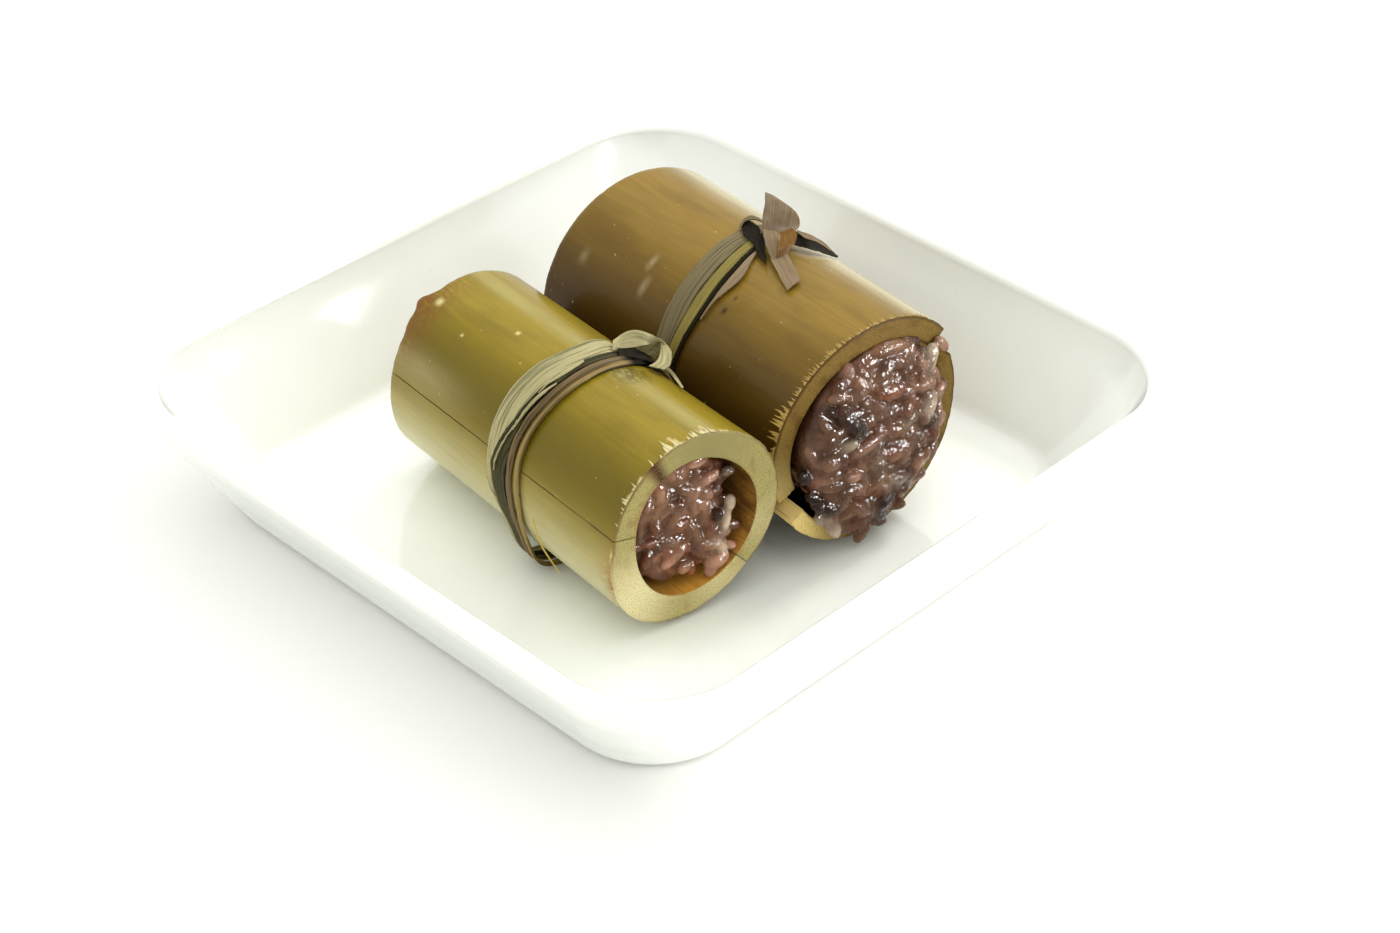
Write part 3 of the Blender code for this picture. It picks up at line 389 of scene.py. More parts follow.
class Finish:
    """A material while its nodes are added to it."""

    def __init__(self, name, constants):
        self.material = bpy.data.materials.new(name)
        self.material.use_nodes = True
        self.tree = self.material.node_tree
        self.shader = self.tree.nodes["Principled BSDF"]
        for socket, value in constants.items():
            self.shader.inputs[socket].default_value = value

    def node(self, kind, settings=None, sockets=None, output=0):
        """Adds a node: its settings are set first, then its sockets get their values or links."""
        added = self.tree.nodes.new(kind)
        for setting, value in (settings or {}).items():
            setattr(added, setting, value)
        for key, value in (sockets or {}).items():
            socket = added.inputs[key]
            if isinstance(value, Wire):
                self.tree.links.new(value.socket, socket)
            else:
                socket.default_value = (*value, 1.0) if socket.type == "RGBA" else value
        return Wire(self, added.outputs[output])

    def map(self, name, output="Vector"):
        """A point attribute of the mesh."""
        return self.node("ShaderNodeAttribute", {"attribute_name": name}, output=output)

    def parts(self, vector):
        """The three parts of a vector, as wires."""
        split = self.node("ShaderNodeSeparateXYZ", sockets={0: vector}).socket.node
        return [Wire(self, output) for output in split.outputs]

    def stretch(self, vector, scale):
        """A vector times three numbers, or times one."""
        scale = scale if isinstance(scale, tuple) else (scale,) * 3
        return self.node("ShaderNodeVectorMath", {"operation": "MULTIPLY"}, {0: vector, 1: scale})

    def noise(self, vector, scale, detail=3.0, bend=0.0):
        """Noise over a scaled vector, from 0 to 1."""
        return self.node("ShaderNodeTexNoise", {}, {"Vector": self.stretch(vector, scale), "Scale": 1.0,
                                                    "Detail": detail, "Distortion": bend})

    def cells(self, vector, scale):
        """The distance to the nearest point of a random field."""
        return self.node("ShaderNodeTexVoronoi", {}, {"Vector": self.stretch(vector, scale), "Scale": 1.0})

    def rise(self, value, low, high, start=0.0, end=1.0):
        """A soft step from the start at the low value to the end at the high one."""
        return self.node("ShaderNodeMapRange", {"interpolation_type": "SMOOTHSTEP"},
                         {"Value": value, "From Min": low, "From Max": high, "To Min": start, "To Max": end})

    def fall(self, value, low, high):
        """A soft step from 1 at the low value to 0 at the high one."""
        return self.rise(value, low, high, 1.0, 0.0)

    def hill(self, value, centre, width, top=0.0):
        """A soft mask that is 1 at the centre, as far out as the top goes, and 0 one width away from it."""
        away = self.node("ShaderNodeMath", {"operation": "ABSOLUTE"}, {0: value - centre})
        return self.fall(away, top, width)

    def mix(self, part, first, second):
        """A blend of two colours."""
        return self.node("ShaderNodeMix", {"data_type": "RGBA"}, {0: part, 6: first, 7: second}, output=2)

    def paint(self, base, *layers):
        """A colour under layers, each of them a mask and a colour."""
        for mask, tone in layers:
            base = self.mix(mask, base, tone)
        return base

    def link(self, **links):
        """Links wires to the shader's sockets; an underscore stands for a space."""
        for name, wire in links.items():
            self.tree.links.new(wire.socket, self.shader.inputs[name.replace("_", " ")])
        return self.material

    def set(self, height, strength, depth, **links):
        """Links wires and a bump, whose height from 0 to 1 stands for the depth in metres."""
        relief = {"Strength": strength, "Distance": depth, "Height": height}
        return self.link(Normal=self.node("ShaderNodeBump", {}, relief), **links)


def darker(tone, share):
    return tuple(part * share for part in tone)


def turned(arc, radius):
    """Degrees round a culm, from millimetres of arc."""
    return arc * (1.0 / (radius / MM * DEGREE))


def mark_layers(finish, marks, turn, grain):
    """Layers for marks that give a turn and a half width in degrees, a colour and a share."""
    return [(finish.hill(turn, centre, width) * grain * share, hue) for centre, width, hue, share in marks]


def porcelain(tone):
    """White glaze: hardly any variation, with faint pits and a slow waviness in the gloss."""
    finish = Finish("glazed_porcelain", {"IOR": 1.5, "Coat Roughness": 0.09})
    place = finish.node("ShaderNodeTexCoord", output="Object")
    cloud = finish.noise(place, 38.0, 2.0)
    speck = finish.rise(finish.noise(place, 900.0, 1.0), 0.74, 0.78)
    base = finish.paint(darker(tone, 0.985), (finish.rise(cloud, 0.35, 0.7), tone),
                        (speck * 0.10, shade(170, 160, 130)))
    gloss = 0.09 + 0.06 * finish.noise(place, 120.0)
    return finish.set(finish.noise(place, 55.0, 1.0), 0.25, 0.0004, Base_Color=base, Roughness=gloss,
                      Coat_Weight=0.3 + 0.2 * cloud)


def bark(name, settings, stains_and_light, scars):
    """Bamboo bark: lengthwise fibres, blotches, the culm's own layers of stain, painted shade and painted
    highlight, and scraped spots.

    A scar gives its turn in degrees, its place along, its half width in degrees, its half length in
    millimetres, its colour and its share.
    """
    tone = settings.bark
    finish = Finish(name, {"IOR": 1.42, "Specular IOR Level": 0.15, "Coat Roughness": 0.16})
    place = finish.map("bark_map")
    along, arc, _ = finish.parts(place)
    turn = turned(arc, settings.near_radius)
    fibre = finish.noise(place, (0.03, 0.9, 0.0), 4.0, 0.15)
    fine = finish.noise(place, (0.15, 5.5, 0.0))
    blotch = finish.noise(place, (0.035, 0.13, 0.0), 4.0, 0.5)
    spot = finish.noise(place, (0.55, 0.8, 0.0))
    scrape = finish.map("scrape", "Fac")
    worn = finish.rise(spot, 0.2, 0.5)
    base = finish.paint(
        darker(tone, 0.84),
        (finish.rise(fibre, 0.25, 0.75), tone),
        (finish.rise(blotch, 0.42, 0.72) * 0.6, darker(tone, 0.58)),
        (finish.rise(fine, 0.50, 0.75) * 0.12, darker(tone, 0.5)),
        *stains_and_light(finish, settings, place, along, turn, spot),
        *[(finish.hill(turn, round_it, wide) * finish.hill(along, place_along, long) * worn * share, hue)
          for round_it, place_along, wide, long, hue, share in scars],
        (scrape, finish.mix(finish.rise(fibre, 0.3, 0.7), shade(196, 170, 104), shade(226, 212, 160))),
        (finish.rise(spot, 0.70, 0.76) * 0.55, shade(206, 196, 140)))
    height = fibre * 0.45 + fine * 0.4 + spot * 0.15
    return finish.set(height, 0.4, 0.00016, Base_Color=base, Roughness=0.25 + 0.14 * blotch + 0.35 * scrape,
                      Coat_Weight=0.14 * (1.0 - scrape))


def front_stains_and_light(finish, settings, place, along, turn, spot):
    """Layers of the olive bark: painted shade along the upper near side and towards the back culm, a waxy
    bloom with a painted reflection of the dish low on the near side, a painted sheen along the top, and stain
    marks.
    """
    tone = settings.bark
    streaks = finish.noise(place, (0.05, 0.45, 0.0))
    low = finish.rise(turn, 156.0, 222.0) * finish.fall(turn, 236.0, 304.0)
    smudge = finish.hill(turn, 74.0, 20.0) * finish.hill(along, 59.0, 8.0)
    haze = finish.hill(turn, 154.0, 20.0) * finish.fall(along, 8.0, 38.0)
    far_stain = finish.hill(turn, 122.0, 50.0) * finish.fall(along, -1.0, 12.0)
    edge = finish.rise(along, 83.0, 89.0) * finish.hill(turn, 198.0, 38.0)
    # Painted shade: a dark band along the upper near side.
    return ((finish.hill(turn, 143.0, 46.0) * 0.96, darker(tone, 0.44)),
            # Waxy bloom low on the near side, partly a painted reflection of the white dish.
            (low * (0.58 + 0.5 * streaks), settings.wax_and_sheen),
            # Painted highlight: a pale sheen band along the top.
            (finish.hill(turn, 79.0, 11.0) * (0.06 + 0.38 * streaks), shade(204, 200, 142)),
            # Painted shade: darker where the bark turns towards the back culm.
            (finish.fall(turn, 48.0, 68.0) * 0.4, darker(tone, 0.5)),
            (smudge * finish.rise(spot, 0.34, 0.56) * 0.85, shade(70, 58, 14)),
            (haze * (0.3 + 0.5 * streaks), shade(172, 158, 110)),
            (far_stain * finish.rise(spot, 0.30, 0.55), shade(122, 80, 34)),
            (edge * finish.rise(spot, 0.30, 0.6) * 0.85, shade(160, 108, 44)))


def back_stains_and_light(finish, settings, place, along, turn, spot):
    """Layers of the brown bark: painted shade low on the near side, and a whitish bloom with a painted sheen
    on the far one.
    """
    # Painted shade low on the near side, between the culms.
    shaded = finish.rise(turn, 96.0, 165.0) * finish.fall(turn, 236.0, 330.0)
    # Whitish bloom, partly a painted sheen where the bark turns away at the top.
    bloom_and_sheen = finish.hill(turn, 52.0, 27.0) * (0.1 + 0.75 * finish.noise(place, (0.02, 0.3, 0.0), 3.0, 0.2))
    return (shaded * 0.92, shade(60, 38, 8)), (bloom_and_sheen, settings.wax_and_sheen)


def sawn_end(name, tone, stain, radius, marks=()):
    """The sawn end: pale wood with dark fibre ends, closer together towards the dark outer skin."""
    finish = Finish(name, {"IOR": 1.45, "Specular IOR Level": 0.06})
    place = finish.map("bark_map")
    _, arc, depth = finish.parts(place)
    across = finish.node("ShaderNodeCombineXYZ", {}, {0: arc, 1: depth * (1.0 + 2.2 / (depth + 1.4)), 2: 0.0})
    ends = finish.cells(across, (1.35, 1.35, 1.0))
    grain = finish.noise(across, (2.2, 2.2, 1.0), 4.0)
    broad = finish.noise(across, (0.16, 0.22, 1.0))
    saw = finish.noise(place, (0.0, 0.9, 5.5), 3.0, 0.5)
    base = finish.paint(
        darker(tone, 0.72),
        (finish.rise(grain, 0.36, 0.64), tone),
        (finish.fall(ends, 0.16, 0.34) * 0.62, darker(stain, 0.8)),
        (finish.fall(depth, 0.25, 1.0) * 0.75, darker(stain, 0.55)),
        (finish.rise(broad, 0.50, 0.72) * 0.6, stain),
        (finish.rise(saw, 0.55, 0.8) * 0.25, darker(tone, 0.6)),
        *mark_layers(finish, marks, turned(arc, radius), finish.rise(grain, 0.2, 0.5)))
    return finish.set(grain * 0.5 + saw * 0.5, 0.6, 0.0003, Base_Color=base, Roughness=0.42 + 0.2 * grain)


def inner_wall(name, dry, wet, radius, marks=()):
    """The inside of the culm, stained by the rice: lengthwise fibres under a wet gloss."""
    finish = Finish(name, {"IOR": 1.45, "Coat Roughness": 0.08})
    place = finish.map("bark_map")
    fibre = finish.noise(place, (0.06, 2.4, 0.0), 4.0, 0.1)
    blotch = finish.noise(place, (0.12, 0.2, 0.0))
    turn = turned(finish.parts(place)[1], radius)
    base = finish.paint(
        wet,
        (finish.rise(fibre, 0.3, 0.7), dry),
        (finish.rise(blotch, 0.42, 0.7) * 0.7, darker(wet, 0.45)),
        *mark_layers(finish, marks, turn, finish.rise(fibre, 0.1, 0.6)))
    return finish.set(fibre, 0.6, 0.0003, Base_Color=base, Roughness=0.16 + 0.30 * blotch,
                      Coat_Weight=0.8 - 0.5 * blotch)


def leaf(name, tone, streak, strength=0.6, hollow=()):
    """A dried leaf strip with fine lengthwise veins and dark streaks.

    The hollow is the place along the strip and the half length, in mm, of the knot's painted shadow.
    """
    finish = Finish(name, {"IOR": 1.42, "Specular IOR Level": 0.08})
    place = finish.map("leaf_map")
    vein = finish.noise(place, (0.05, 3.4, 1.0), 3.0, 0.05)
    band = finish.noise(place, (0.03, 0.75, 1.0), 3.0, 0.2)
    split = finish.noise(place, (0.045, 1.9, 1.0), 2.0, 0.1)
    blotch = finish.noise(place, (0.22, 0.5, 1.0))
    base = finish.paint(
        darker(tone, 0.74),
        (finish.rise(vein, 0.28, 0.72), tone),
        (finish.rise(band, 0.50, 0.64) * strength, streak),
        (finish.rise(split, 0.58, 0.64) * strength, darker(streak, 0.75)),
        (finish.rise(blotch, 0.5, 0.78) * 0.4, darker(tone, 0.66)))
    if hollow:
        # Painted shadow of the knot: near black along the hollow.
        middle, reach_out = hollow
        dark = finish.hill(finish.parts(place)[0], middle, reach_out, reach_out * 0.55)
        base = finish.mix(dark, base, shade(18, 15, 6))
    return finish.set(vein * 0.6 + band * 0.2 + split * 0.2, 0.8, 0.0003, Base_Color=base,
                      Roughness=0.38 + 0.22 * blotch)


def straw(name, tone):
    """Torn fibres: straw with lengthwise streaks."""
    finish = Finish(name, {"IOR": 1.4, "Specular IOR Level": 0.25})
    streak = finish.noise(finish.map("bark_map"), (0.2, 3.0, 1.0))
    base = finish.mix(finish.rise(streak, 0.3, 0.7), darker(tone, 0.6), tone)
    return finish.set(streak, 0.5, 0.0001, Base_Color=base, Roughness=0.45 + 0.2 * streak)


def cooked_rice(film_and_shade):
    """Sticky grains under a wet film: each grain's own tint, blotched and mottled, with a rippled gloss."""
    finish = Finish("cooked_rice", {"IOR": 1.4, "Specular IOR Level": 0.30, "Subsurface Weight": 0.35,
                                    "Subsurface Scale": 0.0014, "Subsurface Radius": (1.0, 0.6, 0.5)})
    place = finish.node("ShaderNodeTexCoord", output="Object")
    tint = finish.map("tint")
    mottle = finish.noise(place, 520.0)
    patch = finish.noise(place, 190.0, 3.0, 0.6)
    base = finish.paint(
        tint,
        (finish.rise(patch, 0.48, 0.66) * 0.5, finish.stretch(tint, (1.50, 1.52, 1.55))),
        (finish.fall(patch, 0.34, 0.48) * 0.5, finish.stretch(tint, (0.55, 0.48, 0.42))),
        (finish.rise(mottle, 0.52, 0.72) * 0.25, film_and_shade))
    ripple = finish.noise(place, 480.0, 2.0, 0.4) * 0.6 + finish.noise(place, 1300.0, 2.0) * 0.4
    gloss = 0.05 + 0.18 * finish.noise(place, 110.0, 2.0)
    return finish.set(ripple, 1.0, 0.0007, Base_Color=base, Roughness=gloss)


# Meshes


def skin(upper, lower, ring=False):
    """Quads of one closed skin between the two faces of a sheet, given as stations by points.

    Returns the points, the quads and, for each quad, its place round the section; the quads that
    close the two ends come last and have the section's size as their place.
    """
    loops = np.concatenate((upper, lower[:, ::-1]), axis=1)
    stations, size = loops.shape[:2]
    index = np.arange(stations * size).reshape(stations, size)
    first = index if ring else index[:-1]
    second = np.roll(index, -1, axis=0) if ring else index[1:]
    faces = np.stack((first, np.roll(first, -1, axis=1), np.roll(second, -1, axis=1), second), axis=-1)
    faces = faces.reshape(-1, 4)
    places = np.tile(np.arange(size), len(first))
    if not ring:
        half = np.arange(size // 2 - 1)
        for end in (index[0], index[-1]):
            caps = np.stack((end[half], end[half + 1], end[size - 2 - half], end[size - 1 - half]), axis=-1)
            faces = np.concatenate((faces, caps))
            places = np.concatenate((places, np.full(len(caps), size)))
    return loops.reshape(-1, 3), faces, places


def add_piece(name, vertices, faces, materials, slots=None, maps=None, sharp=50.0):
    """A smooth piece that rides on the body; maps are point attributes with one or three numbers each."""
    mesh = bpy.data.meshes.new(name)
    mesh.from_pydata(np.asarray(vertices).tolist(), [], [[int(corner) for corner in face] for face in faces])
    for surface in materials:
        mesh.materials.append(surface)
    if slots is not None:
        mesh.polygons.foreach_set("material_index", np.asarray(slots, np.int32))
    for key, values in (maps or {}).items():
        values = np.asarray(values, np.float32)
        kind, field = ("FLOAT", "value") if values.ndim == 1 else ("FLOAT_VECTOR", "vector")
        mesh.attributes.new(key, kind, "POINT").data.foreach_set(field, values.ravel())
    shape = bmesh.new()
    shape.from_mesh(mesh)
    bmesh.ops.recalc_face_normals(shape, faces=shape.faces)
    shape.to_mesh(mesh)
    shape.free()
    mesh.shade_smooth()
    mesh.set_sharp_from_angle(angle=sharp * DEGREE)
    piece = put(name, mesh)
    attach(piece, "root")
    return piece


def put(name, data):
    """A new object in the scene."""
    added = bpy.data.objects.new(name, data)
    bpy.context.scene.collection.objects.link(added)
    return added


def stand_for(node):
    """Hides the solid of the frame that the piece stands in for."""
    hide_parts(node)


def loft(rings, tips=None):
    """Quads between closed rings of equal length, with a fan to a tip, or to the middle, of each end."""
    rings = np.asarray(rings)
    levels, count = rings.shape[:2]
    index = np.arange(levels * count).reshape(levels, count)
    low, high = index[:-1], index[1:]
    faces = np.stack((low, np.roll(low, -1, axis=1), np.roll(high, -1, axis=1), high), axis=-1)
    faces = faces.reshape(-1, 4).tolist()
    for tip, end in enumerate((index[0], index[-1])):
        pairs = zip(end.tolist(), np.roll(end, -1).tolist())
        faces += [[corner, following, levels * count + tip] for corner, following in pairs]
    tips = rings[[0, -1]].mean(axis=1) if tips is None else tips
    return np.concatenate((rings.reshape(-1, 3), tips)), faces


def rounded_square(half, corner, height, steps=28, side_steps=6):
    """The points of a square with round corners, anticlockwise."""
    points = []
    for quarter in range(4):
        turn = Matrix.Rotation(math.pi / 2.0 * quarter, 3, "Z")
        for step in range(steps + 1):
            angle = math.pi / 2.0 * step / steps
            across = half - corner + corner * math.cos(angle)
            up = half - corner + corner * math.sin(angle)
            points.append(turn @ Vector((across, up, height)))
        for step in range(1, side_steps):
            across = lerp(half - corner, corner - half, step / side_steps)
            points.append(turn @ Vector((across, half, height)))
    return [tuple(point) for point in points]


def build_dish(settings):
    """Foot, flared wall, rolled lip, inner wall and the fillet to the flat floor, as one smooth loft."""
    foot_inset, foot_height, heel = 2.2 * MM, 1.2 * MM, 1.0 * MM
    base_half, lip_half, lip = settings.base_half, settings.lip_half, settings.lip_radius
    fillet = settings.fillet
    lip_height = settings.height - lip
    slope = math.atan2(lip_half - base_half, lip_height - foot_height)
    corner_rate = (settings.lip_corner - settings.base_corner) / (lip_half - base_half)
    rings = []

    def ring(half, height):
        rings.append(rounded_square(half, settings.base_corner + corner_rate * (half - base_half), height))

    for share in (0.5, 0.8):
        ring(base_half * share, 0.0)
    for angle in np.linspace(0.0, math.pi / 2.0, 7):
        ring(base_half - foot_inset * (1.0 - math.sin(angle)), foot_height * (1.0 - math.cos(angle)))
    for share in (0.25, 0.5, 0.75):
        ring(lerp(base_half, lip_half + lip * math.cos(slope), share),
             lerp(foot_height, lip_height - lip * math.sin(slope), share))
    for angle in np.linspace(-slope, math.pi, 25):
        ring(lip_half + lip * math.cos(angle), lip_height + lip * math.sin(angle))
    floor_half = base_half - settings.wall - heel
    bend = math.pi / 2.0 - slope

    def fillet_place(angle):
        """Half width and height where the fillet has turned from the floor by the angle."""
        return (floor_half - fillet * (math.tan(bend / 2.0) - math.sin(angle)),
                settings.floor_top + fillet * (1.0 - math.cos(angle)))

    half, top = fillet_place(bend)
    for share in (0.25, 0.5, 0.75):
        ring(lerp(lip_half - lip, half, share), lerp(lip_height, top, share))
    for angle in np.linspace(bend, 0.0, 13):
        ring(*fillet_place(angle))
    for share in (0.75, 0.5, 0.25):
        ring(floor_half * share, settings.floor_top)
    piece = add_piece("porcelain_dish", *loft(rings), [porcelain(settings.glaze)])
    stand_for("dish")


BARK, SAWN, INSIDE = range(3)
SKIN_STATIONS = 118
RIM_DEPTHS = (0.06, 0.12, 0.20, 0.29, 0.38, 0.47)
RIM_ROUND = 0.30 * MM
WANDER = 0.16 * MM


def shell(name, half, columns, relief, materials, seed):
    """One closed, dense half of a culm. The relief gives how far the bark is cut back, and where scraped."""
    culm = half.culm
    part = 1.0 - (1.0 - np.linspace(0.0, 1.0, SKIN_STATIONS)) ** 1.3
    share = np.linspace(0.0, 1.0, columns + 1)[:, None]
    start, end = half.cuts(culm.length * part)
    wander = WANDER / culm.near_radius * rough(culm.length * part / MM / 5.0, seed + 0.0 * part, seed)
    angle = lerp(start + wander, end - wander, share)
    arc = culm.arc(angle)
    near, far = half.near_end(angle), half.far_end(angle)
    along = lerp(far + RIM_ROUND, near - RIM_ROUND, part)
    cut, scrape = relief(along / MM, arc, angle / DEGREE, (near - along) / MM)
    depths = np.concatenate((RIM_DEPTHS[::-1], np.zeros(SKIN_STATIONS), RIM_DEPTHS))
    rim = len(RIM_DEPTHS)
    station = np.concatenate(([0] * rim, np.arange(SKIN_STATIONS), [SKIN_STATIONS - 1] * rim))
    outside = culm.outer(along, angle) - cut * MM
    groove = 0.05 * rough(arc / 1.1, along / MM / 24.0, seed + 3)
    inside = culm.inner(along, angle) + groove * MM
    faces_of_sheet, maps, scrapes = [], [], []
    for side, share_in in ((0, depths), (1, 1.0 - depths)):
        radius = lerp(outside[:, station], inside[:, station], share_in)
        place = along[:, station].copy()
        depth = (outside[:, station] - radius) / MM
        worn = 0.10 * rough(arc[:, station] / 1.3, depth / 1.3, seed + 9)
        worn += 0.05 * rough(arc[:, station] / 9.0, depth / 0.35, seed + 10)
        place[:, -rim:] = near[:, -1:] + worn[:, -rim:] * MM
        place[:, :rim] = far[:, :1] + worn[:, :rim] * MM
        faces_of_sheet.append(culm.place(place, angle[:, station], radius))
        maps.append(np.stack((place / MM, arc[:, station], depth), axis=-1))
        scrapes.append(scrape[:, station] if side == 0 else 0.0 * radius)
    vertices, faces, places = skin(*faces_of_sheet)
    length = len(depths)
    kinds = np.full(2 * length + 1, SAWN)
    kinds[rim:rim + SKIN_STATIONS - 1] = BARK
    kinds[length + rim:length + rim + SKIN_STATIONS - 1] = INSIDE
    bark_map = np.concatenate((maps[0], maps[1][:, ::-1]), axis=1).reshape(-1, 3)
    scraped = np.concatenate((scrapes[0], scrapes[1][:, ::-1]), axis=1).ravel()
    return add_piece(name, vertices, faces, materials, kinds[places],
                     {"bark_map": bark_map, "scrape": scraped}, sharp=60.0)


def front_relief(along, arc, turn, from_mouth):
    """Fibres and dents in the bark, and the scraped strips that run back from the mouth."""
    fibres = 0.035 * rough(arc / 0.9, along / 30.0, 11) + 0.10 * rough(arc / 8.0, along / 16.0, 12)
    reach_back = 9.0 * bump(turn, 79.0, 9.0) + 6.0 * bump(turn, 101.0, 5.0)
    reach_back = reach_back + 2.4 * bump(turn, 134.0, 12.0) + 2.4 * bump(turn, 185.0, 14.0)
    spikes = patches(arc / 0.9, 0.0 * arc, 21) ** 2 * 0.8 + 0.45 * patches(arc / 3.1, 0.0 * arc, 22)
    scrape = smoothstep(0.0, 0.7, reach_back * spikes - from_mouth - 0.2)
    scrape = scrape * smoothstep(0.32, 0.42, patches(arc / 1.7, along / 9.0, 23))
    chipped = smoothstep(0.55, 0.8, patches(arc / 1.4, along / 2.0, 24))
    return fibres + 0.28 * smoothstep(1.0, 0.0, from_mouth) * chipped + 0.22 * scrape, scrape


def back_relief(along, arc, turn, from_mouth):
    """Fibres and dents in the bark, and the pale fuzz where the saw left the mouth's edge."""
    fibres = 0.035 * rough(arc / 0.9, along / 30.0, 31) + 0.12 * rough(arc / 9.0, along / 18.0, 32)
    reach_back = 1.1 + 2.2 * bump(turn, 205.0, 30.0) + 1.0 * bump(turn, 250.0, 20.0)
    spikes = patches(arc / 0.6, 0.0 * arc, 41) ** 2
    scrape = smoothstep(0.0, 0.35, reach_back * spikes - from_mouth - 0.1)
    chipped = smoothstep(0.5, 0.8, patches(arc / 1.2, along / 2.0, 44))
    return fibres + 0.22 * smoothstep(0.8, 0.0, from_mouth) * chipped + 0.10 * scrape, scrape


def build_culm(side, halves, columns, relief, seeds, surfaces, clear_of, groups):
    """The two halves of a culm, the wall at its node and the torn fibres at its mouth."""
    *shell_surfaces, node_surface, torn_surface = surfaces
    for name, half, count, seed in zip(("upper", "lower"), halves, columns, seeds):
        piece = shell(f"{side}_{name}_bamboo", half, count, relief, shell_surfaces, seed)
        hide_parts(f"{side}_{name}_half")
    node_wall(side + "_node_wall", halves[1], clear_of, node_surface)
    build_splinters(side + "_splinters", halves[0], groups, torn_surface, seeds[2])


def build_front_culm(settings):
    tone, radius = settings.wood, settings.near_radius
    scar, light = shade(214, 202, 140), shade(238, 226, 174)
    scars = ((120.3, 16.9, 1.7, 0.8, scar, 1.0), (99.6, 29.0, 2.4, 1.1, scar, 1.0),
             (112.0, 3.6, 4.4, 1.8, scar, 1.0))
    # Marks on the rim: darker across the top, painted light low on the left and at the right, and a brown
    # stain at 117 degrees.
    marks = ((78.0, 66.0, darker(tone, 0.60), 0.95), (216.0, 50.0, light, 0.9), (-20.0, 30.0, light, 0.3),
             (290.0, 40.0, light, 0.5), (117.0, 9.0, shade(80, 48, 28), 1.0))
    # Painted light: the inner wall brighter towards the bottom, where it faces up.
    painted_light_marks = ((268.0, 66.0, shade(236, 172, 70), 0.9), (-66.0, 56.0, shade(214, 150, 58), 0.8))
    surfaces = (bark("olive_bark", settings, front_stains_and_light, scars),
                sawn_end("front_sawn_end", tone, shade(150, 118, 68), radius, marks),
                inner_wall("front_inner_wall", shade(176, 128, 58), shade(112, 70, 26), radius, painted_light_marks),
                inner_wall("front_node_skin", shade(184, 160, 104), shade(150, 122, 66), radius),
                straw("pale_straw", shade(226, 214, 158)))
    groups = ((72.0, 92.0, 1.3, 1.7, 0.70, 0.05), (98.5, 106.0, 1.6, 2.0, 0.95, 0.15),
              (103.2, 104.4, 3.0, 3.1, 1.2, 0.2), (116.3, 117.3, 2.4, 2.6, 0.36, 0.6),
              (130.0, 133.0, 2.6, 1.4, 0.42, 0.4), (139.6, 143.0, 2.4, 1.5, 0.55, 0.4),
              (147.0, 149.5, 2.0, 1.1, 0.36, 0.3), (92.0, 160.0, 0.4, 0.6, 0.40, 0.2))
    build_culm("front", front_halves(settings), (150, 110), front_relief, (3, 4, 51), surfaces, [], groups)


def build_back_culm(settings):
    radius = settings.near_radius
    smear, dent = shade(176, 160, 122), shade(58, 34, 12)
    scars = ((125.4, 31.1, 7.0, 1.7, smear, 0.5), (137.0, 33.5, 8.0, 2.0, smear, 0.45),
             (127.0, 60.5, 3.2, 1.3, dent, 1.0), (119.0, 60.6, 2.6, 0.9, dent, 0.7),
             (139.8, 10.0, 6.0, 2.4, smear, 0.3))
    surfaces = (bark("brown_bark", settings, back_stains_and_light, scars),
                # The pale mark low on the left of the rim is painted light, where the front culm shades it.
                sawn_end("back_sawn_end", settings.wood, shade(92, 60, 24), radius,
                         ((216.0, 50.0, shade(240, 212, 136), 1.0),)),
                inner_wall("back_inner_wall", shade(120, 84, 40), shade(72, 42, 20), radius),
                inner_wall("back_node_skin", shade(150, 116, 62), shade(112, 80, 38), radius),
                straw("golden_straw", shade(196, 164, 88)))
    groups = ((56.0, 110.0, 3.4, 1.0, 0.22, 0.35), (110.0, 156.0, 3.2, 1.2, 0.28, 0.45),
              (150.0, 206.0, 1.5, 2.4, 0.8, 0.7))
    halves = back_halves(settings)
    build_culm("back", halves, (150, 130), back_relief, (5, 6, 52), surfaces, halves[:1], groups)


def build_splinters(name, half, groups, surface, seed):
    """Torn fibres that lean back from the cut edge over the bark.

    A group gives its first and last angle in degrees, the fibres per millimetre of arc, and the
    mean length, width and rise of a fibre in millimetres.
    """
    rng = random.Random(seed)
    culm = half.culm
    part = np.linspace(0.0, 1.0, 5)[:, None]
    column = np.array((-0.5, 0.0, 0.5))
    vertices, faces, maps = [], [], []
    for first, last, density, length, width, rise in groups:
        for _ in range(round((last - first) * DEGREE * culm.near_radius / MM * density)):
            centre = rng.uniform(first, last)
            long = length * rng.uniform(0.35, 1.0) ** 1.5 * 1.6
            wide = width * rng.uniform(0.6, 1.5)
            lean = rng.uniform(-0.35, 0.35) * long
            arc = culm.arc(centre * DEGREE) + (column * wide + lean * part) * (1.0 - 0.93 * part ** 1.3)
            arc = arc + lean * part * 0.5
            angle = arc * MM / culm.near_radius
            along = half.near_end(angle) - (0.12 + long * part + 0.0 * column) * MM
            lift = (0.04 + rise * rng.uniform(0.2, 1.2) * part ** 1.7) + 0.0 * column
            sheet = []
            for thick in (0.13, -0.03):
                raised = (lift + thick * (1.1 - part)) * MM
                sheet.append(culm.place(along, angle, culm.outer(along, angle) + raised))
            points, quads, _ = skin(*sheet)
            faces += (quads + sum(len(block) for block in vertices)).tolist()
            vertices.append(points)
            mapped = np.stack((along / MM, arc, 0.0 * arc), axis=-1)
            maps.append(np.concatenate((mapped, mapped[:, ::-1]), axis=1).reshape(-1, 3))
    maps = {"bark_map": np.concatenate(maps)}
    return add_piece(name, np.concatenate(vertices), faces, [surface], maps=maps)


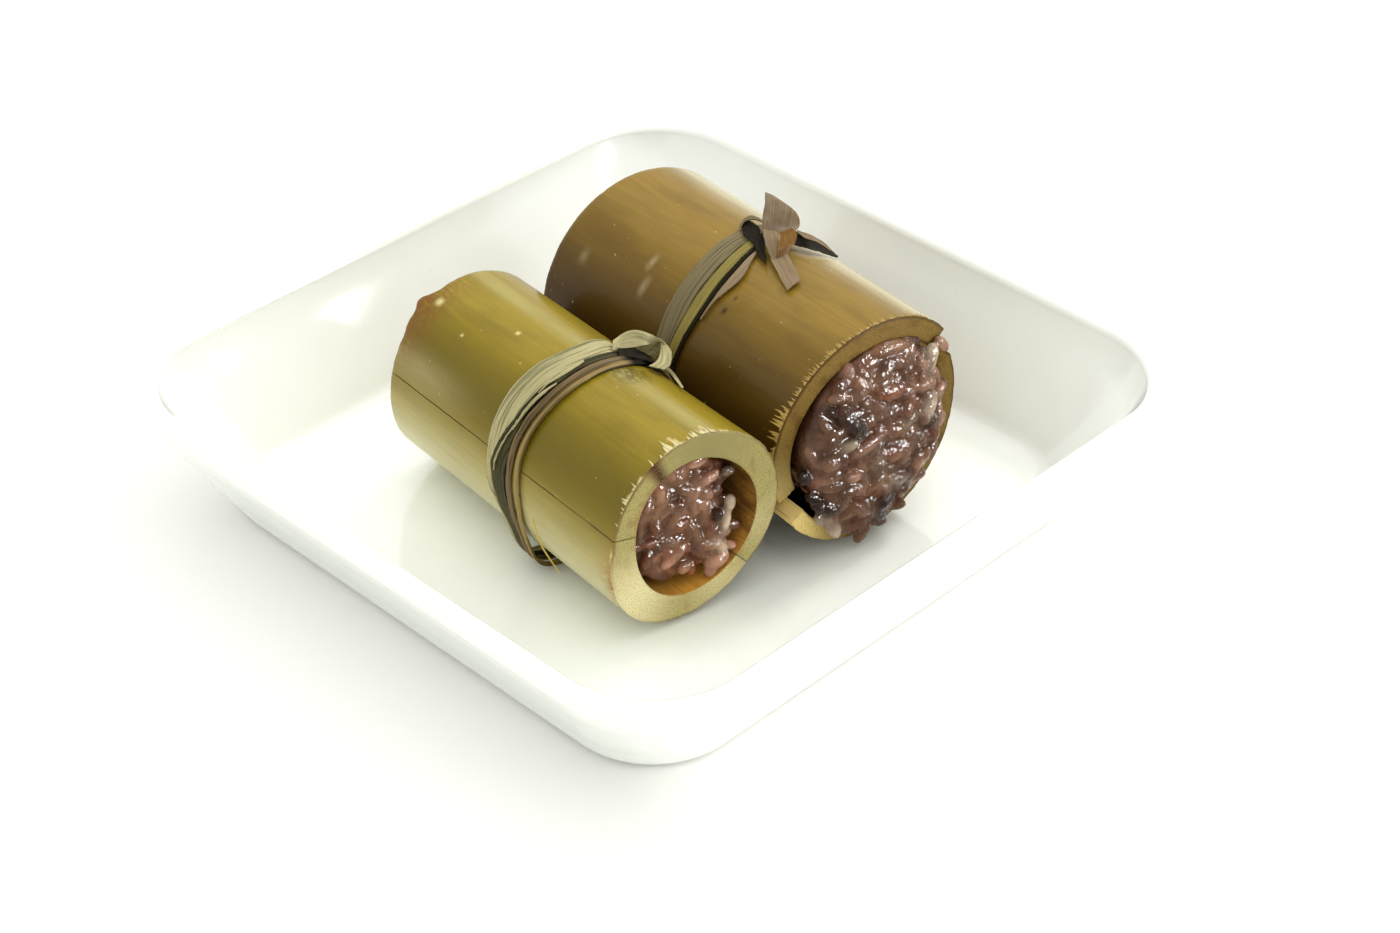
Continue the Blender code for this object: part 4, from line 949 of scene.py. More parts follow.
def reach(origin, direction, culm, along, clearance):
    """How far a ray across the culm runs before it comes within the clearance of the inner wall."""
    start = origin - culm.middle(along)
    start = start - np.multiply.outer(start @ culm.axis, culm.axis)
    step = direction - np.multiply.outer(direction @ culm.axis, culm.axis)
    limit = culm.inner(along, np.arctan2(direction @ culm.up, direction @ culm.side)) - clearance
    a = (step * step).sum(axis=-1)
    b = 2.0 * (start * step).sum(axis=-1)
    c = (start * start).sum(axis=-1) - limit * limit
    return (-b + np.sqrt(np.maximum(0.0, b * b - 4.0 * a * c))) / (2.0 * a)


def node_wall(name, host, others, surface):
    """The disc that closes a culm at its node, grown into the host half and clear of the other one."""
    culm, room = host.culm, 0.35 * MM
    far, near = NODE_WALL
    angle = around(96)
    rings = []
    for along, share in ((far + 0.9 * MM, 0.35), (far + 0.5 * MM, 0.7), (far, 1.0), (near, 1.0), (near, 0.6)):
        start, end = host.cuts(along)
        past = (angle - start) % FULL_TURN
        grown = culm.inner(along, angle) + culm.wall * 0.4
        clear = culm.inner(along, angle) - room
        for other in others:
            middle = culm.middle(along) + 0.0 * culm.direction(angle)
            clear = np.minimum(clear, reach(middle, culm.direction(angle), other.culm, along, room))
        radius = np.where(past < end - start, grown, clear) * share
        ridge = 0.25 * MM * rough(np.cos(angle) * 6.0 * share, np.sin(angle) * 6.0 * share, 8)
        rings.append(culm.place(along + ridge * (share < 1.0), angle, radius))
    vertices, faces = loft(rings)
    offset = vertices - culm.origin
    from_axis = np.linalg.norm(offset - np.multiply.outer(offset @ culm.axis, culm.axis), axis=1)
    maps = {"bark_map": np.stack((offset @ culm.side * 0.4, from_axis * 0.09, 0.0 * from_axis), axis=-1) / MM}
    return add_piece(name, vertices, faces, [surface], maps=maps)


# Leaf ties


def convex_outline(points):
    """The convex outline of flat points, anticlockwise."""
    points = sorted(set(points))
    outline = []
    for sweep in (points, points[::-1]):
        chain = []
        for point in sweep:
            while len(chain) > 1 and turn_of(chain[-2], chain[-1], point) <= 0.0:
                chain.pop()
            chain.append(point)
        outline += chain[:-1]
    return np.array(outline)


def turn_of(first, second, third):
    return (second[0] - first[0]) * (third[1] - first[1]) - (second[1] - first[1]) * (third[0] - first[0])


class Winding:
    """Strips wound tight round the halves of one culm. Places are in millimetres along and degrees round."""

    first, spacing, slots = 34.0, 2.0, 22

    def __init__(self, halves, thickness):
        self.culm = halves[0].culm
        self.thickness = thickness
        self.table = np.array([self.radii(halves, self.first + self.spacing * slot)
                               for slot in range(self.slots)])

    def radii(self, halves, along):
        """The radius of the outline that a tight strip follows, for each degree round."""
        middle = self.culm.middle(along * MM)
        points = []
        for half in halves:
            start, end = half.cuts(along * MM)
            angle = np.linspace(start, end, 90)
            bark_points = half.culm.place(along * MM + 0.0 * angle, angle, half.culm.outer(along * MM, angle))
            offset = bark_points - middle
            points += [tuple(pair) for pair in np.stack((offset @ self.culm.side, offset @ self.culm.up), -1)]
        outline = convex_outline(points)
        after = np.roll(outline, -1, axis=0)
        turn = np.arange(360.0)[:, None] * DEGREE
        before = np.cos(turn) * outline[:, 1] - np.sin(turn) * outline[:, 0]
        beyond = np.cos(turn) * after[:, 1] - np.sin(turn) * after[:, 0]
        hit = ((before <= 0.0) & (beyond > 0.0)).argmax(axis=1)
        row = np.arange(360)
        part = before[row, hit] / (before[row, hit] - beyond[row, hit])
        met = lerp(outline[hit], after[hit], part[:, None])
        radius = np.hypot(met[:, 0], met[:, 1])
        widest = np.maximum.reduce([np.roll(radius, step) for step in range(-2, 3)])
        return sum(np.roll(widest, step) for step in range(-2, 3)) / 5.0

    def radius(self, along, turn):
        slot = np.clip((along - self.first) / self.spacing, 0.0, self.slots - 1.001)
        degree = np.asarray(turn) % 360.0
        low, left = np.floor(slot).astype(int), np.floor(degree).astype(int) % 360
        near, far = (lerp(self.table[row, left], self.table[row, (left + 1) % 360], degree - np.floor(degree))
                     for row in (low, low + 1))
        return lerp(near, far, slot - low)

    def place(self, along, turn, lift):
        """Points outside the outline by the lift in millimetres."""
        along, turn = np.broadcast_arrays(np.asarray(along, float), np.asarray(turn, float))
        return self.culm.place(along * MM, turn * DEGREE, self.radius(along, turn) + lift * MM)

    def band(self, start, end, edges, slack, crumple, ring=False, columns=8, pleat=0.10, arch=0.0):
        """The two faces and the map of a strip between two turns; edges and slack depend on the turn.

        The pleat is the height of its lengthwise folds and the arch that of its middle, in mm.
        """
        count = round((end - start) / 2.0)
        turn = np.linspace(start, end, count + (0 if ring else 1), endpoint=not ring)[:, None]
        share = np.linspace(0.0, 1.0, columns + 1)
        left, right = edges[0](turn), edges[1](turn)
        fray = 0.10 * rough(turn / 4.0, left / 50.0, crumple)
        along = lerp(left + fray, right - fray, share)
        across = along - left
        wave = pleat * rough(across / 0.8 + crumple, turn / 40.0, crumple + 1)
        wave = wave + arch * np.sin(share * math.pi) + 0.16 * rough(across / 3.0, turn / 9.0, crumple + 2)
        lift = slack(turn) + np.maximum(wave, -0.12)
        upper = self.place(along, turn + 0.0 * along, lift + self.thickness / MM)
        lower = self.place(along, turn + 0.0 * along, lift)
        length = turn * DEGREE * self.culm.near_radius / MM + 0.0 * along
        return upper, lower, np.stack((length, across + 0.0 * along, 0.0 * along + crumple), axis=-1)

    def ribbon(self, rows, crumple, columns):
        """The two faces and the map of a free strip through given rows of two edge places."""
        rows = np.array(rows)
        left = smooth_line(self.place(rows[:, 0], rows[:, 1], rows[:, 2]))
        right = smooth_line(self.place(rows[:, 3], rows[:, 4], rows[:, 5]))
        forward = np.gradient(left + right, axis=0)
        outward = np.cross(forward, left - right)
        outward /= np.linalg.norm(outward, axis=1)[:, None]
        if outward[0] @ self.culm.direction(rows[0, 1] * DEGREE) < 0.0:
            outward = -outward
        share = np.linspace(0.0, 1.0, columns + 1)
        middle = lerp(left[:, None], right[:, None], share[None, :, None])
        steps = np.linalg.norm(np.diff((left + right) / 2.0, axis=0), axis=1)
        width = np.linalg.norm(left - right, axis=1)[:, None] * share / MM
        length = np.concatenate(([0.0], steps.cumsum()))[:, None] / MM + 0.0 * width
        wave = 0.22 * rough(width / 1.1, length / 5.0, crumple)
        wave = wave + 0.30 * rough(width / 3.0, length / 2.6, crumple + 1)
        middle = middle + outward[:, None] * wave[..., None] * MM
        upper = middle + outward[:, None] * (self.thickness * 0.8)
        return upper, middle, np.stack((length, width, 0.0 * width + crumple), axis=-1)


def smooth_line(points, steps=8):
    """A smooth curve through every one of the points."""
    line = []
    for index in range(len(points) - 1):
        before, start = points[max(0, index - 1)], points[index]
        end, after = points[index + 1], points[min(len(points) - 1, index + 2)]
        for step in range(steps):
            part = step / steps
            bend = (end - before) * part + (2.0 * before - 5.0 * start + 4.0 * end - after) * part ** 2
            bend += (3.0 * start - before - 3.0 * end + after) * part ** 3
            line.append(start + bend * 0.5)
    line.append(points[-1])
    return np.array(line)


def add_strip(name, sheet, surface, node, ring=False):
    """A leaf strip from its two faces and its map."""
    upper, lower, leaf_map = sheet
    vertices, faces, _ = skin(upper, lower, ring)
    mapped = np.concatenate((leaf_map, leaf_map[:, ::-1]), axis=1).reshape(-1, 3)
    piece = add_piece(name, vertices, faces, [surface], maps={"leaf_map": mapped}, sharp=70.0)
    stand_for(node)


def wind(winding, side, tone, surface, edges, slack, crumple, **folds):
    """A strip all the way round, whose piece and node are named for its tone."""
    sheet = winding.band(0.0, 360.0, edges, slack, crumple, ring=True, **folds)
    add_strip(f"{side}_{tone}_tie", sheet, surface, f"{side}_{tone}_strip", ring=True)


def lay_strips(winding, prefix, node, strips):
    """Free strips, each with its name, surface, crumple, columns and rows."""
    for name, surface, crumple, columns, rows in strips:
        add_strip(prefix + name, winding.ribbon(rows, crumple, columns), surface, node)


def track(*rows):
    """A smooth function of the turn through rows of a turn and a place along, all the way round."""
    turns, places = zip(*rows)
    shifts = (-5.0, -2.0, 2.0, 5.0)
    return lambda turn: sum(np.interp(turn + shift, turns, places, period=360.0) for shift in shifts) / 4.0


def beside(edge, offset):
    """An edge that keeps its distance from another one."""
    return lambda turn: edge(turn) + offset


def build_front_ties(settings, culm_settings):
    """A wide leaf with its knotted loop, a dark streaky strip and two thin rolled ones beside it."""
    winding = Winding(front_halves(culm_settings), settings.thickness)
    space, lift = settings.space / MM, settings.lift / MM
    leaf_left = track((44.0, 42.0), (69.0, 42.3), (86.0, 43.9), (99.0, 43.4), (111.0, 42.3), (133.0, 41.2),
                      (150.0, 40.6), (162.0, 40.8), (176.0, 41.7), (190.0, 43.3), (203.0, 45.3),
                      (214.0, 47.6), (230.0, 48.4), (300.0, 46.0))
    leaf_right = track((44.0, 48.4), (65.0, 48.9), (80.0, 49.7), (95.0, 49.7), (108.0, 49.3), (122.0, 48.5),
                       (136.0, 47.4), (154.0, 45.0), (166.0, 43.3), (176.0, 42.9), (190.0, 44.5),
                       (203.0, 46.5), (214.0, 48.9), (230.0, 50.0), (300.0, 48.5))
    mauve_middle = track((53.0, 51.7), (72.0, 53.0), (95.0, 53.2), (110.0, 53.0), (122.0, 52.3),
                         (134.0, 51.1), (151.0, 50.1), (165.0, 49.9), (180.0, 50.2), (192.0, 51.0),
                         (203.0, 51.6), (216.0, 53.0), (228.0, 53.6), (300.0, 52.5))
    tan_middle = track((53.0, 54.2), (72.0, 55.3), (98.0, 55.3), (112.0, 55.0), (126.0, 54.2), (140.0, 53.3),
                       (152.0, 52.8), (165.0, 52.8), (178.0, 53.4), (190.0, 54.2), (206.0, 54.2),
                       (223.0, 56.0), (300.0, 55.2))
    tan_left, mauve_left = beside(tan_middle, -0.9), beside(mauve_middle, -0.9)

    def mauve_right(turn):
        return np.minimum(mauve_middle(turn) + 0.8, tan_left(turn) - 0.8 * space)

    def slack(turn):
        turn = turn % 360.0
        return lift + 2.9 * bump(turn, 228.0, 15.0) + 0.5 * bump(turn, 120.0, 45.0)

    # Painted shadow: the stretch of the dark, mauve and tan strips that the knot darkens.
    knot = (23.0, 8.5)
    cream = leaf("cream_leaf", settings.cream, shade(84, 88, 54), 0.62)
    shaded = leaf("shaded_leaf", shade(98, 90, 44), shade(60, 54, 24), 0.5)
    dark = leaf("dark_leaf", settings.dark, shade(26, 26, 14), 0.9, knot)
    mauve = leaf("mauve_leaf", settings.mauve, shade(66, 52, 32), 0.85, knot)
    tan = leaf("tan_leaf", settings.tan, shade(78, 60, 30), 0.85, knot)
    # A near-black leaf used as a sheet of painted shadow under the loop.
    black = leaf("knot_shadow_sheet", shade(30, 26, 12), shade(14, 12, 6))
    yellow = leaf("yellow_fibre", shade(206, 178, 84), shade(150, 120, 50), 0.3)
    wind(winding, "front", "tan", tan, (tan_left, beside(tan_middle, 0.9)), slack, 61, pleat=0.35, arch=0.45)
    wind(winding, "front", "mauve", mauve, (mauve_left, mauve_right), slack, 62, pleat=0.35, arch=0.40)
    wind(winding, "front", "dark", dark, (beside(leaf_right, space), beside(mauve_left, -space)), slack, 63,
         columns=12, pleat=0.30)
    wide = winding.band(62.0, 255.0, (leaf_left, leaf_right), slack, 64, columns=24, pleat=0.34)
    add_strip("front_leaf_band", wide, cream, "front_leaf")
    lay_strips(winding, "front_leaf_", "front_leaf", (
        ("loop", cream, 65, 6, (
            (46.3, 65.4, 2.2, 49.4, 70.7, 1.0), (45.6, 60.2, 3.3, 48.9, 64.3, 1.3),
            (47.4, 60.0, 5.2, 50.2, 62.6, 2.2), (49.6, 59.5, 6.8, 51.9, 60.0, 3.4),
            (51.9, 57.0, 7.3, 53.0, 57.8, 4.6), (52.0, 50.7, 7.0, 51.9, 51.3, 5.6),
            (50.5, 41.9, 6.8, 49.8, 43.0, 6.2), (52.4, 39.5, 6.0, 51.1, 42.9, 5.1),
            (56.9, 45.6, 4.6, 55.2, 49.9, 3.6), (59.3, 49.5, 2.9, 57.2, 55.1, 2.2),
            (60.1, 53.8, 1.7, 57.8, 60.0, 1.2))),
        ("tail", cream, 67, 6, (
            (55.9, 41.6, 2.4, 55.4, 42.5, 1.6), (59.1, 42.0, 1.9, 58.8, 42.4, 1.1),
            (68.4, 55.1, 1.1, 68.2, 55.7, 0.7))),
        ("split_a", cream, 69, 6, (
            (50.3, 92.0, 1.2, 51.2, 92.5, 1.3), (50.2, 102.0, 1.4, 51.3, 103.0, 1.5),
            (49.6, 112.0, 1.4, 50.3, 112.5, 1.5), (49.2, 122.0, 1.4, 49.5, 122.0, 1.5))),
        ("split_b", cream, 71, 6, (
            (51.4, 112.0, 1.4, 51.9, 112.5, 1.6), (50.2, 122.0, 1.5, 51.0, 123.0, 1.7),
            (49.0, 134.0, 1.4, 49.8, 135.0, 1.6), (48.0, 146.0, 1.2, 48.3, 146.5, 1.4))),
        ("split_c", cream, 73, 6, (
            (48.4, 140.0, 1.4, 48.8, 140.5, 1.5), (46.9, 152.0, 1.3, 47.3, 152.5, 1.4),
            (45.3, 165.0, 1.1, 45.7, 165.5, 1.2), (44.5, 176.0, 1.0, 44.7, 176.0, 1.1))),
        ("hair", cream, 75, 6, (
            (42.6, 183.0, 1.2, 43.1, 183.0, 1.3), (44.4, 188.0, 1.4, 44.9, 188.5, 1.5),
            (46.0, 193.0, 1.3, 46.3, 193.5, 1.3))),
        ("fold", shaded, 90, 6, (
            (50.6, 58.0, 3.1, 51.0, 59.0, 2.6), (49.6, 51.4, 4.4, 51.6, 54.0, 2.4),
            (49.4, 46.0, 5.6, 52.6, 50.0, 2.2), (50.2, 43.4, 5.9, 54.0, 47.0, 2.2))),
        # Painted shadow: a dark sheet in the gap under the loop.
        ("gap", black, 92, 6, (
            (49.0, 66.0, 1.2, 52.4, 71.0, 0.9), (49.0, 60.0, 1.6, 53.2, 66.0, 1.2),
            (49.6, 53.0, 1.9, 54.6, 59.0, 1.5), (51.4, 47.0, 1.9, 56.6, 53.0, 1.6))),
        ("fibre", yellow, 91, 2, (
            (60.5, 187.6, 1.2, 60.8, 187.8, 1.0), (63.6, 189.4, 2.6, 63.9, 189.6, 2.4),
            (66.2, 192.7, 3.6, 66.5, 192.9, 3.3), (69.1, 194.7, 4.2, 69.3, 194.8, 3.9),
            (74.5, 197.7, 5.0, 74.7, 197.8, 4.8)))))


def build_back_ties(settings, culm_settings):
    """Two wide strips and a thin dark one round the culm, a leaf sliver, and the knot with its ends."""
    winding = Winding(back_halves(culm_settings), settings.thickness)
    space, lift = settings.space / MM, settings.lift / MM
    left = track((60.0, 40.6), (84.0, 41.4), (114.0, 44.0), (135.0, 45.0), (150.0, 45.6), (200.0, 45.6),
                 (300.0, 42.0))
    right = track((60.0, 47.6), (78.0, 48.8), (90.0, 51.2), (111.0, 54.8), (125.0, 55.7), (138.0, 55.8),
                  (151.0, 54.8), (170.0, 53.6), (200.0, 53.0), (300.0, 48.6))
    yellow_right, sliver_left = beside(right, -1.2), beside(right, 0.5)

    def grey_right(turn):
        return lerp(left(turn), right(turn), 0.56)

    def sliver_right(turn):
        return sliver_left(turn) + 0.4 + 2.6 * bump(turn, 110.0, 12.0)

    def slack(turn):
        return 1.15 * lift + 0.35 * bump(turn % 360.0, 115.0, 30.0)

    grey = leaf("grey_leaf", settings.grey, shade(92, 82, 62), 0.8)
    yellow = leaf("yellow_leaf", settings.yellow, shade(96, 88, 42))
    # Dark leaf for the dark strip, also used as painted shadow in the knot's hollow and under the pointed
    # end.
    dark = leaf("back_dark_leaf_and_shadow", shade(30, 25, 12), shade(14, 11, 5))
    brown = leaf("brown_leaf", settings.brown, shade(116, 94, 66), 0.45)
    rust = leaf("rust_leaf", settings.rust, shade(98, 58, 20), 0.5)
    wind(winding, "back", "grey", grey, (left, grey_right), slack, 71)
    wind(winding, "back", "yellow", yellow, (beside(grey_right, space), yellow_right), slack, 72, columns=6)
    wind(winding, "back", "dark", dark, (beside(yellow_right, space), right), slack, 73, columns=3)
    sliver = winding.band(92.0, 136.0, (sliver_left, sliver_right), slack, 74, columns=5)
    add_strip("back_sliver", sliver, brown, "back_leaf_sliver")
    lay_strips(winding, "back_knot_", "back_knot", (
        ("upright", brown, 75, 8, (
            (47.6, 84.0, 1.7, 50.0, 72.0, 1.7), (47.4, 83.0, 5.0, 49.0, 65.0, 3.6),
            (47.0, 82.0, 8.5, 48.6, 68.5, 7.2), (46.4, 81.5, 12.2, 46.8, 78.5, 11.2))),
        ("facet", brown, 77, 8, (
            (46.9, 82.7, 3.0, 53.2, 82.3, 4.5), (50.4, 86.0, 3.4, 55.8, 84.6, 5.0),
            (53.6, 89.2, 3.0, 58.0, 87.6, 4.8), (57.6, 92.0, 1.5, 59.7, 91.5, 2.0))),
        ("fold", rust, 79, 8, (
            (54.2, 83.6, 4.8, 51.4, 72.9, 3.8), (57.0, 87.6, 5.0, 55.4, 75.8, 4.2),
            (59.2, 90.4, 4.4, 58.0, 79.8, 3.8), (59.5, 92.0, 2.0, 59.6, 87.0, 2.0))),
        ("hanging", brown, 81, 8, (
            (57.0, 91.0, 1.9, 57.0, 82.0, 2.1), (59.4, 94.5, 1.6, 59.1, 85.2, 1.8),
            (65.1, 98.5, 1.1, 64.4, 89.0, 1.1), (71.0, 103.0, 1.0, 70.4, 94.0, 1.0))),
        # The dark underside of the pointed end is painted shade.
        ("pointed", dark, 83, 8, (
            (51.5, 72.5, 3.6, 55.0, 77.0, 1.5), (54.6, 70.5, 3.7, 56.6, 73.6, 1.4),
            (56.9, 66.0, 3.1, 58.6, 69.5, 1.2), (58.6, 53.1, 0.9, 59.4, 54.2, 0.7))),
        ("point_top", brown, 85, 8, (
            (53.0, 72.0, 4.1, 53.8, 73.0, 3.9), (54.9, 69.6, 4.1, 56.0, 71.4, 3.4),
            (56.6, 64.5, 3.4, 57.4, 66.0, 2.8), (58.2, 55.0, 1.5, 58.5, 55.6, 1.2))),
        # A sheet of painted shadow in the opening under the knot's loop.
        ("hollow", dark, 87, 8, (
            (40.4, 85.0, 1.5, 45.0, 89.6, 1.3), (40.8, 81.0, 2.0, 49.4, 91.0, 1.5),
            (44.5, 80.8, 2.0, 54.6, 95.0, 1.4), (50.4, 85.5, 1.8, 59.6, 97.4, 1.0))),
        ("arch", grey, 89, 8, (
            (41.0, 86.0, 1.6, 42.2, 88.0, 1.5), (40.2, 82.0, 2.6, 41.6, 83.6, 2.5),
            (41.0, 78.6, 3.0, 42.8, 80.0, 3.1), (44.4, 77.4, 2.6, 46.0, 79.0, 3.0)))))


# Rice


GRAIN_SIDES = 12
GRAIN_RINGS = 9
BLUNTNESS = 2.5
GRAIN_ROOM = 2.1 * MM
LUMP_HEIGHT = 0.06 * MM
TONE_RANGE = (0.76, 1.16)
BLACK_RISE = 1.1 * MM
BLACK_GUARDS = (0.12, 0.3, 0.5, 0.7, 0.88)
FRONT_DEPTH = 4.2 * MM
SPILL = 5.0 * MM
BACK_COARSER = 1.06
SEAM_COARSER = 1.3

# How light the grains of each group are against the colours in the settings: painted light at the front
# mouth, painted shade at the back mouth and in the seams
WASHES = {"front": 1.26, "back": 0.87, "seam": 0.86}

# How often each kind of grain is drawn
KINDS = {"plum": 36, "mauve": 34, "pink": 18, "red": 6, "pale": 2, "black": 6}


def grain_template():
    """A blunt grain of unit half sizes: points along X, and its quads and end triangles."""
    turn = around(GRAIN_SIDES)
    places = -np.cos(math.pi * np.arange(1, GRAIN_RINGS + 1) / (GRAIN_RINGS + 1))
    rings = [np.stack((place + 0.0 * turn, girth * np.cos(turn), girth * np.sin(turn)), axis=-1)
             for place, girth in zip(places, (1.0 - np.abs(places) ** BLUNTNESS) ** 0.5)]
    return loft(rings, ((-1.0, 0.0, 0.0), (1.0, 0.0, 0.0)))


class Grains:
    """A growing set of cooked grains that melts into one skin.

    The wash is a share for every grain's colour, painted light above 1 and painted shade below it, and dim
    gives a further share for each place, a painted shade.
    """

    def __init__(self, settings, seed, wash, dim=None):
        self.settings = settings
        self.wash = wash
        self.dim = dim or (lambda place: 1.0)
        self.rng = random.Random(seed)
        self.template, self.template_faces = grain_template()
        self.vertices, self.faces, self.bodies, self.guards = [], [], [], []

    def tone(self, name):
        """The colour of one grain: its kind's colour, a little lighter or darker."""
        return np.array(getattr(self.settings, name)) * self.rng.uniform(*TONE_RANGE) * self.wash

    def draw_tone(self):
        return self.tone(self.rng.choices(list(KINDS), list(KINDS.values()))[0])

    def add(self, start, end, width, outward, tone, guards=(0.5,), droop=0.92):
        """A grain from start to end, slightly bent and tapered, flattened along the outward direction.

        No scattered grain comes close to its guards, which are given as shares of its length.
        """
        rng = self.rng
        centre, length = (start + end) / 2.0, np.linalg.norm(end - start)
        axis = (end - start) / length
        across = unit(np.cross(outward, axis))
        thick = np.cross(axis, across)
        x, y, z = self.template.T
        taper, bend = 1.0 + rng.uniform(-0.16, 0.16) * x, rng.uniform(-0.20, 0.20)
        points = (centre + np.outer(x * length / 2.0, axis)
                  + np.outer((y * taper + bend * (x * x - 0.5)) * width / 2.0, across)
                  + np.outer(z * taper * width * droop / 2.0, thick))
        offset = sum(len(block) for block in self.vertices)
        self.vertices.append(points)
        self.faces += [tuple(corner + offset for corner in face) for face in self.template_faces]
        self.guards += [lerp(start, end, share) for share in guards]
        spread = np.array((axis * 2.0 / length, across * 2.0 / width, thick * 2.0 / width))
        self.bodies.append((centre, spread, width / 2.0, tone * self.dim(centre)))

    def scatter(self, centre, outward):
        """A grain of random turn and tone lying on a surface; the front and back rice call it only where no
        placed grain is close.
        """
        rng, settings = self.rng, self.settings
        outward = unit(outward)
        first = unit(np.cross(outward, (0.0, 0.0, 1.0) if abs(outward[2]) < 0.8 else (0.0, 1.0, 0.0)))
        second = np.cross(outward, first)
        turn, tip = rng.uniform(0.0, math.pi), rng.gauss(0.0, 0.28)
        axis = (first * math.cos(turn) + second * math.sin(turn)) * math.cos(tip) + outward * math.sin(tip)
        half = axis * settings.grain_length * rng.uniform(0.78, 1.10) / 2.0
        width = settings.grain_width * rng.uniform(0.84, 1.12)
        self.add(centre - half, centre + half, width, outward, self.draw_tone())

    def crowded(self, place):
        return np.linalg.norm(np.array(self.guards) - place, axis=1).min() < GRAIN_ROOM

    def tints(self, places):
        """The colour at each place: blended between touching grains, and darkened in their creases, partly by
        starch and partly by painted shade.
        """
        soft, film_reach = 0.50 * MM, 0.50 * MM
        film_and_shade = np.array(self.settings.film_and_shade)
        first = np.full(len(places), math.exp(-film_reach / soft))
        total, squares = first.copy(), first ** 2
        colours = np.outer(first, film_and_shade)
        for centre, spread, half_width, tone in self.bodies:
            local = np.abs((places - centre) @ spread.T)
            girth = local[:, 0] ** BLUNTNESS + local[:, 1] ** 2 + local[:, 2] ** 2
            weight = np.exp(-np.clip((np.sqrt(girth) - 1.0) * half_width / soft, -14.0, 14.0))
            total += weight
            squares += weight ** 2
            colours += np.outer(weight, tone)
        # Painted shade: the creases between grains, and the places far from any grain, take the dark starch
        # colour, partly real starch.
        shaded_crease = 1.0 - squares / total ** 2
        return lerp(colours / total[:, None], film_and_shade, 0.34 * smoothstep(0.30, 0.75, shaded_crease)[:, None])

    def melt(self, name, base, voxel, node):
        """Sticks the grains and their base together into one skin, tinted point by point."""
        base_vertices, base_faces = base
        offset = sum(len(block) for block in self.vertices)
        faces = self.faces + [tuple(int(corner) + offset for corner in face) for face in base_faces]
        loose = bpy.data.meshes.new(name + "_loose")
        loose.from_pydata(np.concatenate((*self.vertices, np.asarray(base_vertices))).tolist(), [], faces)
        carrier = put(loose.name, loose)
        remesh = carrier.modifiers.new("melt", "REMESH")
        remesh.mode = "VOXEL"
        remesh.voxel_size = voxel
        ease = carrier.modifiers.new("ease", "SMOOTH")
        ease.factor = 0.5
        ease.iterations = 11
        evaluated = carrier.evaluated_get(bpy.context.evaluated_depsgraph_get())
        mesh = bpy.data.meshes.new_from_object(evaluated)
        bpy.data.objects.remove(carrier)
        bpy.data.meshes.remove(loose)
        keep_largest(mesh)
        places, outward = np.empty((2, len(mesh.vertices) * 3), np.float32)
        mesh.vertices.foreach_get("co", places)
        mesh.vertex_normals.foreach_get("vector", outward)
        places = places + outward * np.repeat(LUMP_HEIGHT * lumps(places), 3).astype(np.float32)
        mesh.vertices.foreach_set("co", places)
        tints = self.tints(places.reshape(-1, 3).astype(float)).astype(np.float32)
        mesh.attributes.new("tint", "FLOAT_VECTOR", "POINT").data.foreach_set("vector", tints.ravel())
        mesh.materials.append(cooked_rice(self.settings.film_and_shade))
        mesh.shade_smooth()
        piece = put(name, mesh)
        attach(piece, "root")
        stand_for(node)


def lumps(places):
    """Two sizes of small lumps over a skin of rice."""
    x, y, z = places.reshape(-1, 3).T / MM
    fields = ((x, y, 1.5), (y, z, 1.4), (z, x, 1.6), (x, z, 0.8), (y, x, 0.75), (z, y, 0.85))
    return sum(patches(a / size, b / size, seed) - 0.5 for seed, (a, b, size) in enumerate(fields))


def keep_largest(mesh):
    """Keeps only the largest closed body of a mesh."""
    shape = bmesh.new()
    shape.from_mesh(mesh)
    remaining, bodies = set(shape.verts), []
    while remaining:
        stack, body = [remaining.pop()], []
        while stack:
            vertex = stack.pop()
            body.append(vertex)
            linked = remaining.intersection(edge.other_vert(vertex) for edge in vertex.link_edges)
            remaining -= linked
            stack += linked
        bodies.append(body)
    bodies.sort(key=len)
    for body in bodies[:-1]:
        bmesh.ops.delete(shape, geom=body, context="VERTS")
    shape.to_mesh(mesh)
    shape.free()


def polar(offset, culm):
    """The angle and the distance of a place from a culm's axis."""
    across, up = offset @ culm.side, offset @ culm.up
    return math.atan2(up, across), math.hypot(across, up)


def even_spots(rng, count, reach_out):
    """Angles and shares of the radius spread evenly over a face, each a little off its place."""
    for index in range(count):
        part = math.sqrt((index + rng.uniform(0.1, 0.9)) / count)
        yield index * math.pi * (3.0 - math.sqrt(5.0)) + rng.uniform(-0.12, 0.12), part * reach_out


def add_core(name, rings, settings, node):
    """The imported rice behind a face."""
    vertices, faces = loft(rings)
    tint = np.tile(np.array(settings.film_and_shade), (len(vertices), 1))
    piece = add_piece(name, vertices, faces, [cooked_rice(settings.film_and_shade)], maps={"tint": tint})
    stand_for(node)


def voxel_size(settings, coarser=1.0):
    return settings.voxel * 1.0 * coarser


def place_heroes(grains, culm, rows):
    """The grains that stand out in the photo: tone, width, then both ends beyond the mouth, aside and up.

    The black ones rise a little out of the face, and have room round them.
    """
    def point(beyond, aside, up):
        return culm.origin + culm.axis * (culm.length + beyond * MM) + (culm.side * aside + culm.up * up) * MM

    for tone, width, *ends in rows:
        rise, guards = (BLACK_RISE, BLACK_GUARDS) if tone == "black" else (0.0, (0.5,))
        start, end = (point(*place) + culm.axis * rise for place in (ends[:3], ends[3:]))
        grains.add(start, end, width * MM, culm.axis, grains.tone(tone), guards)


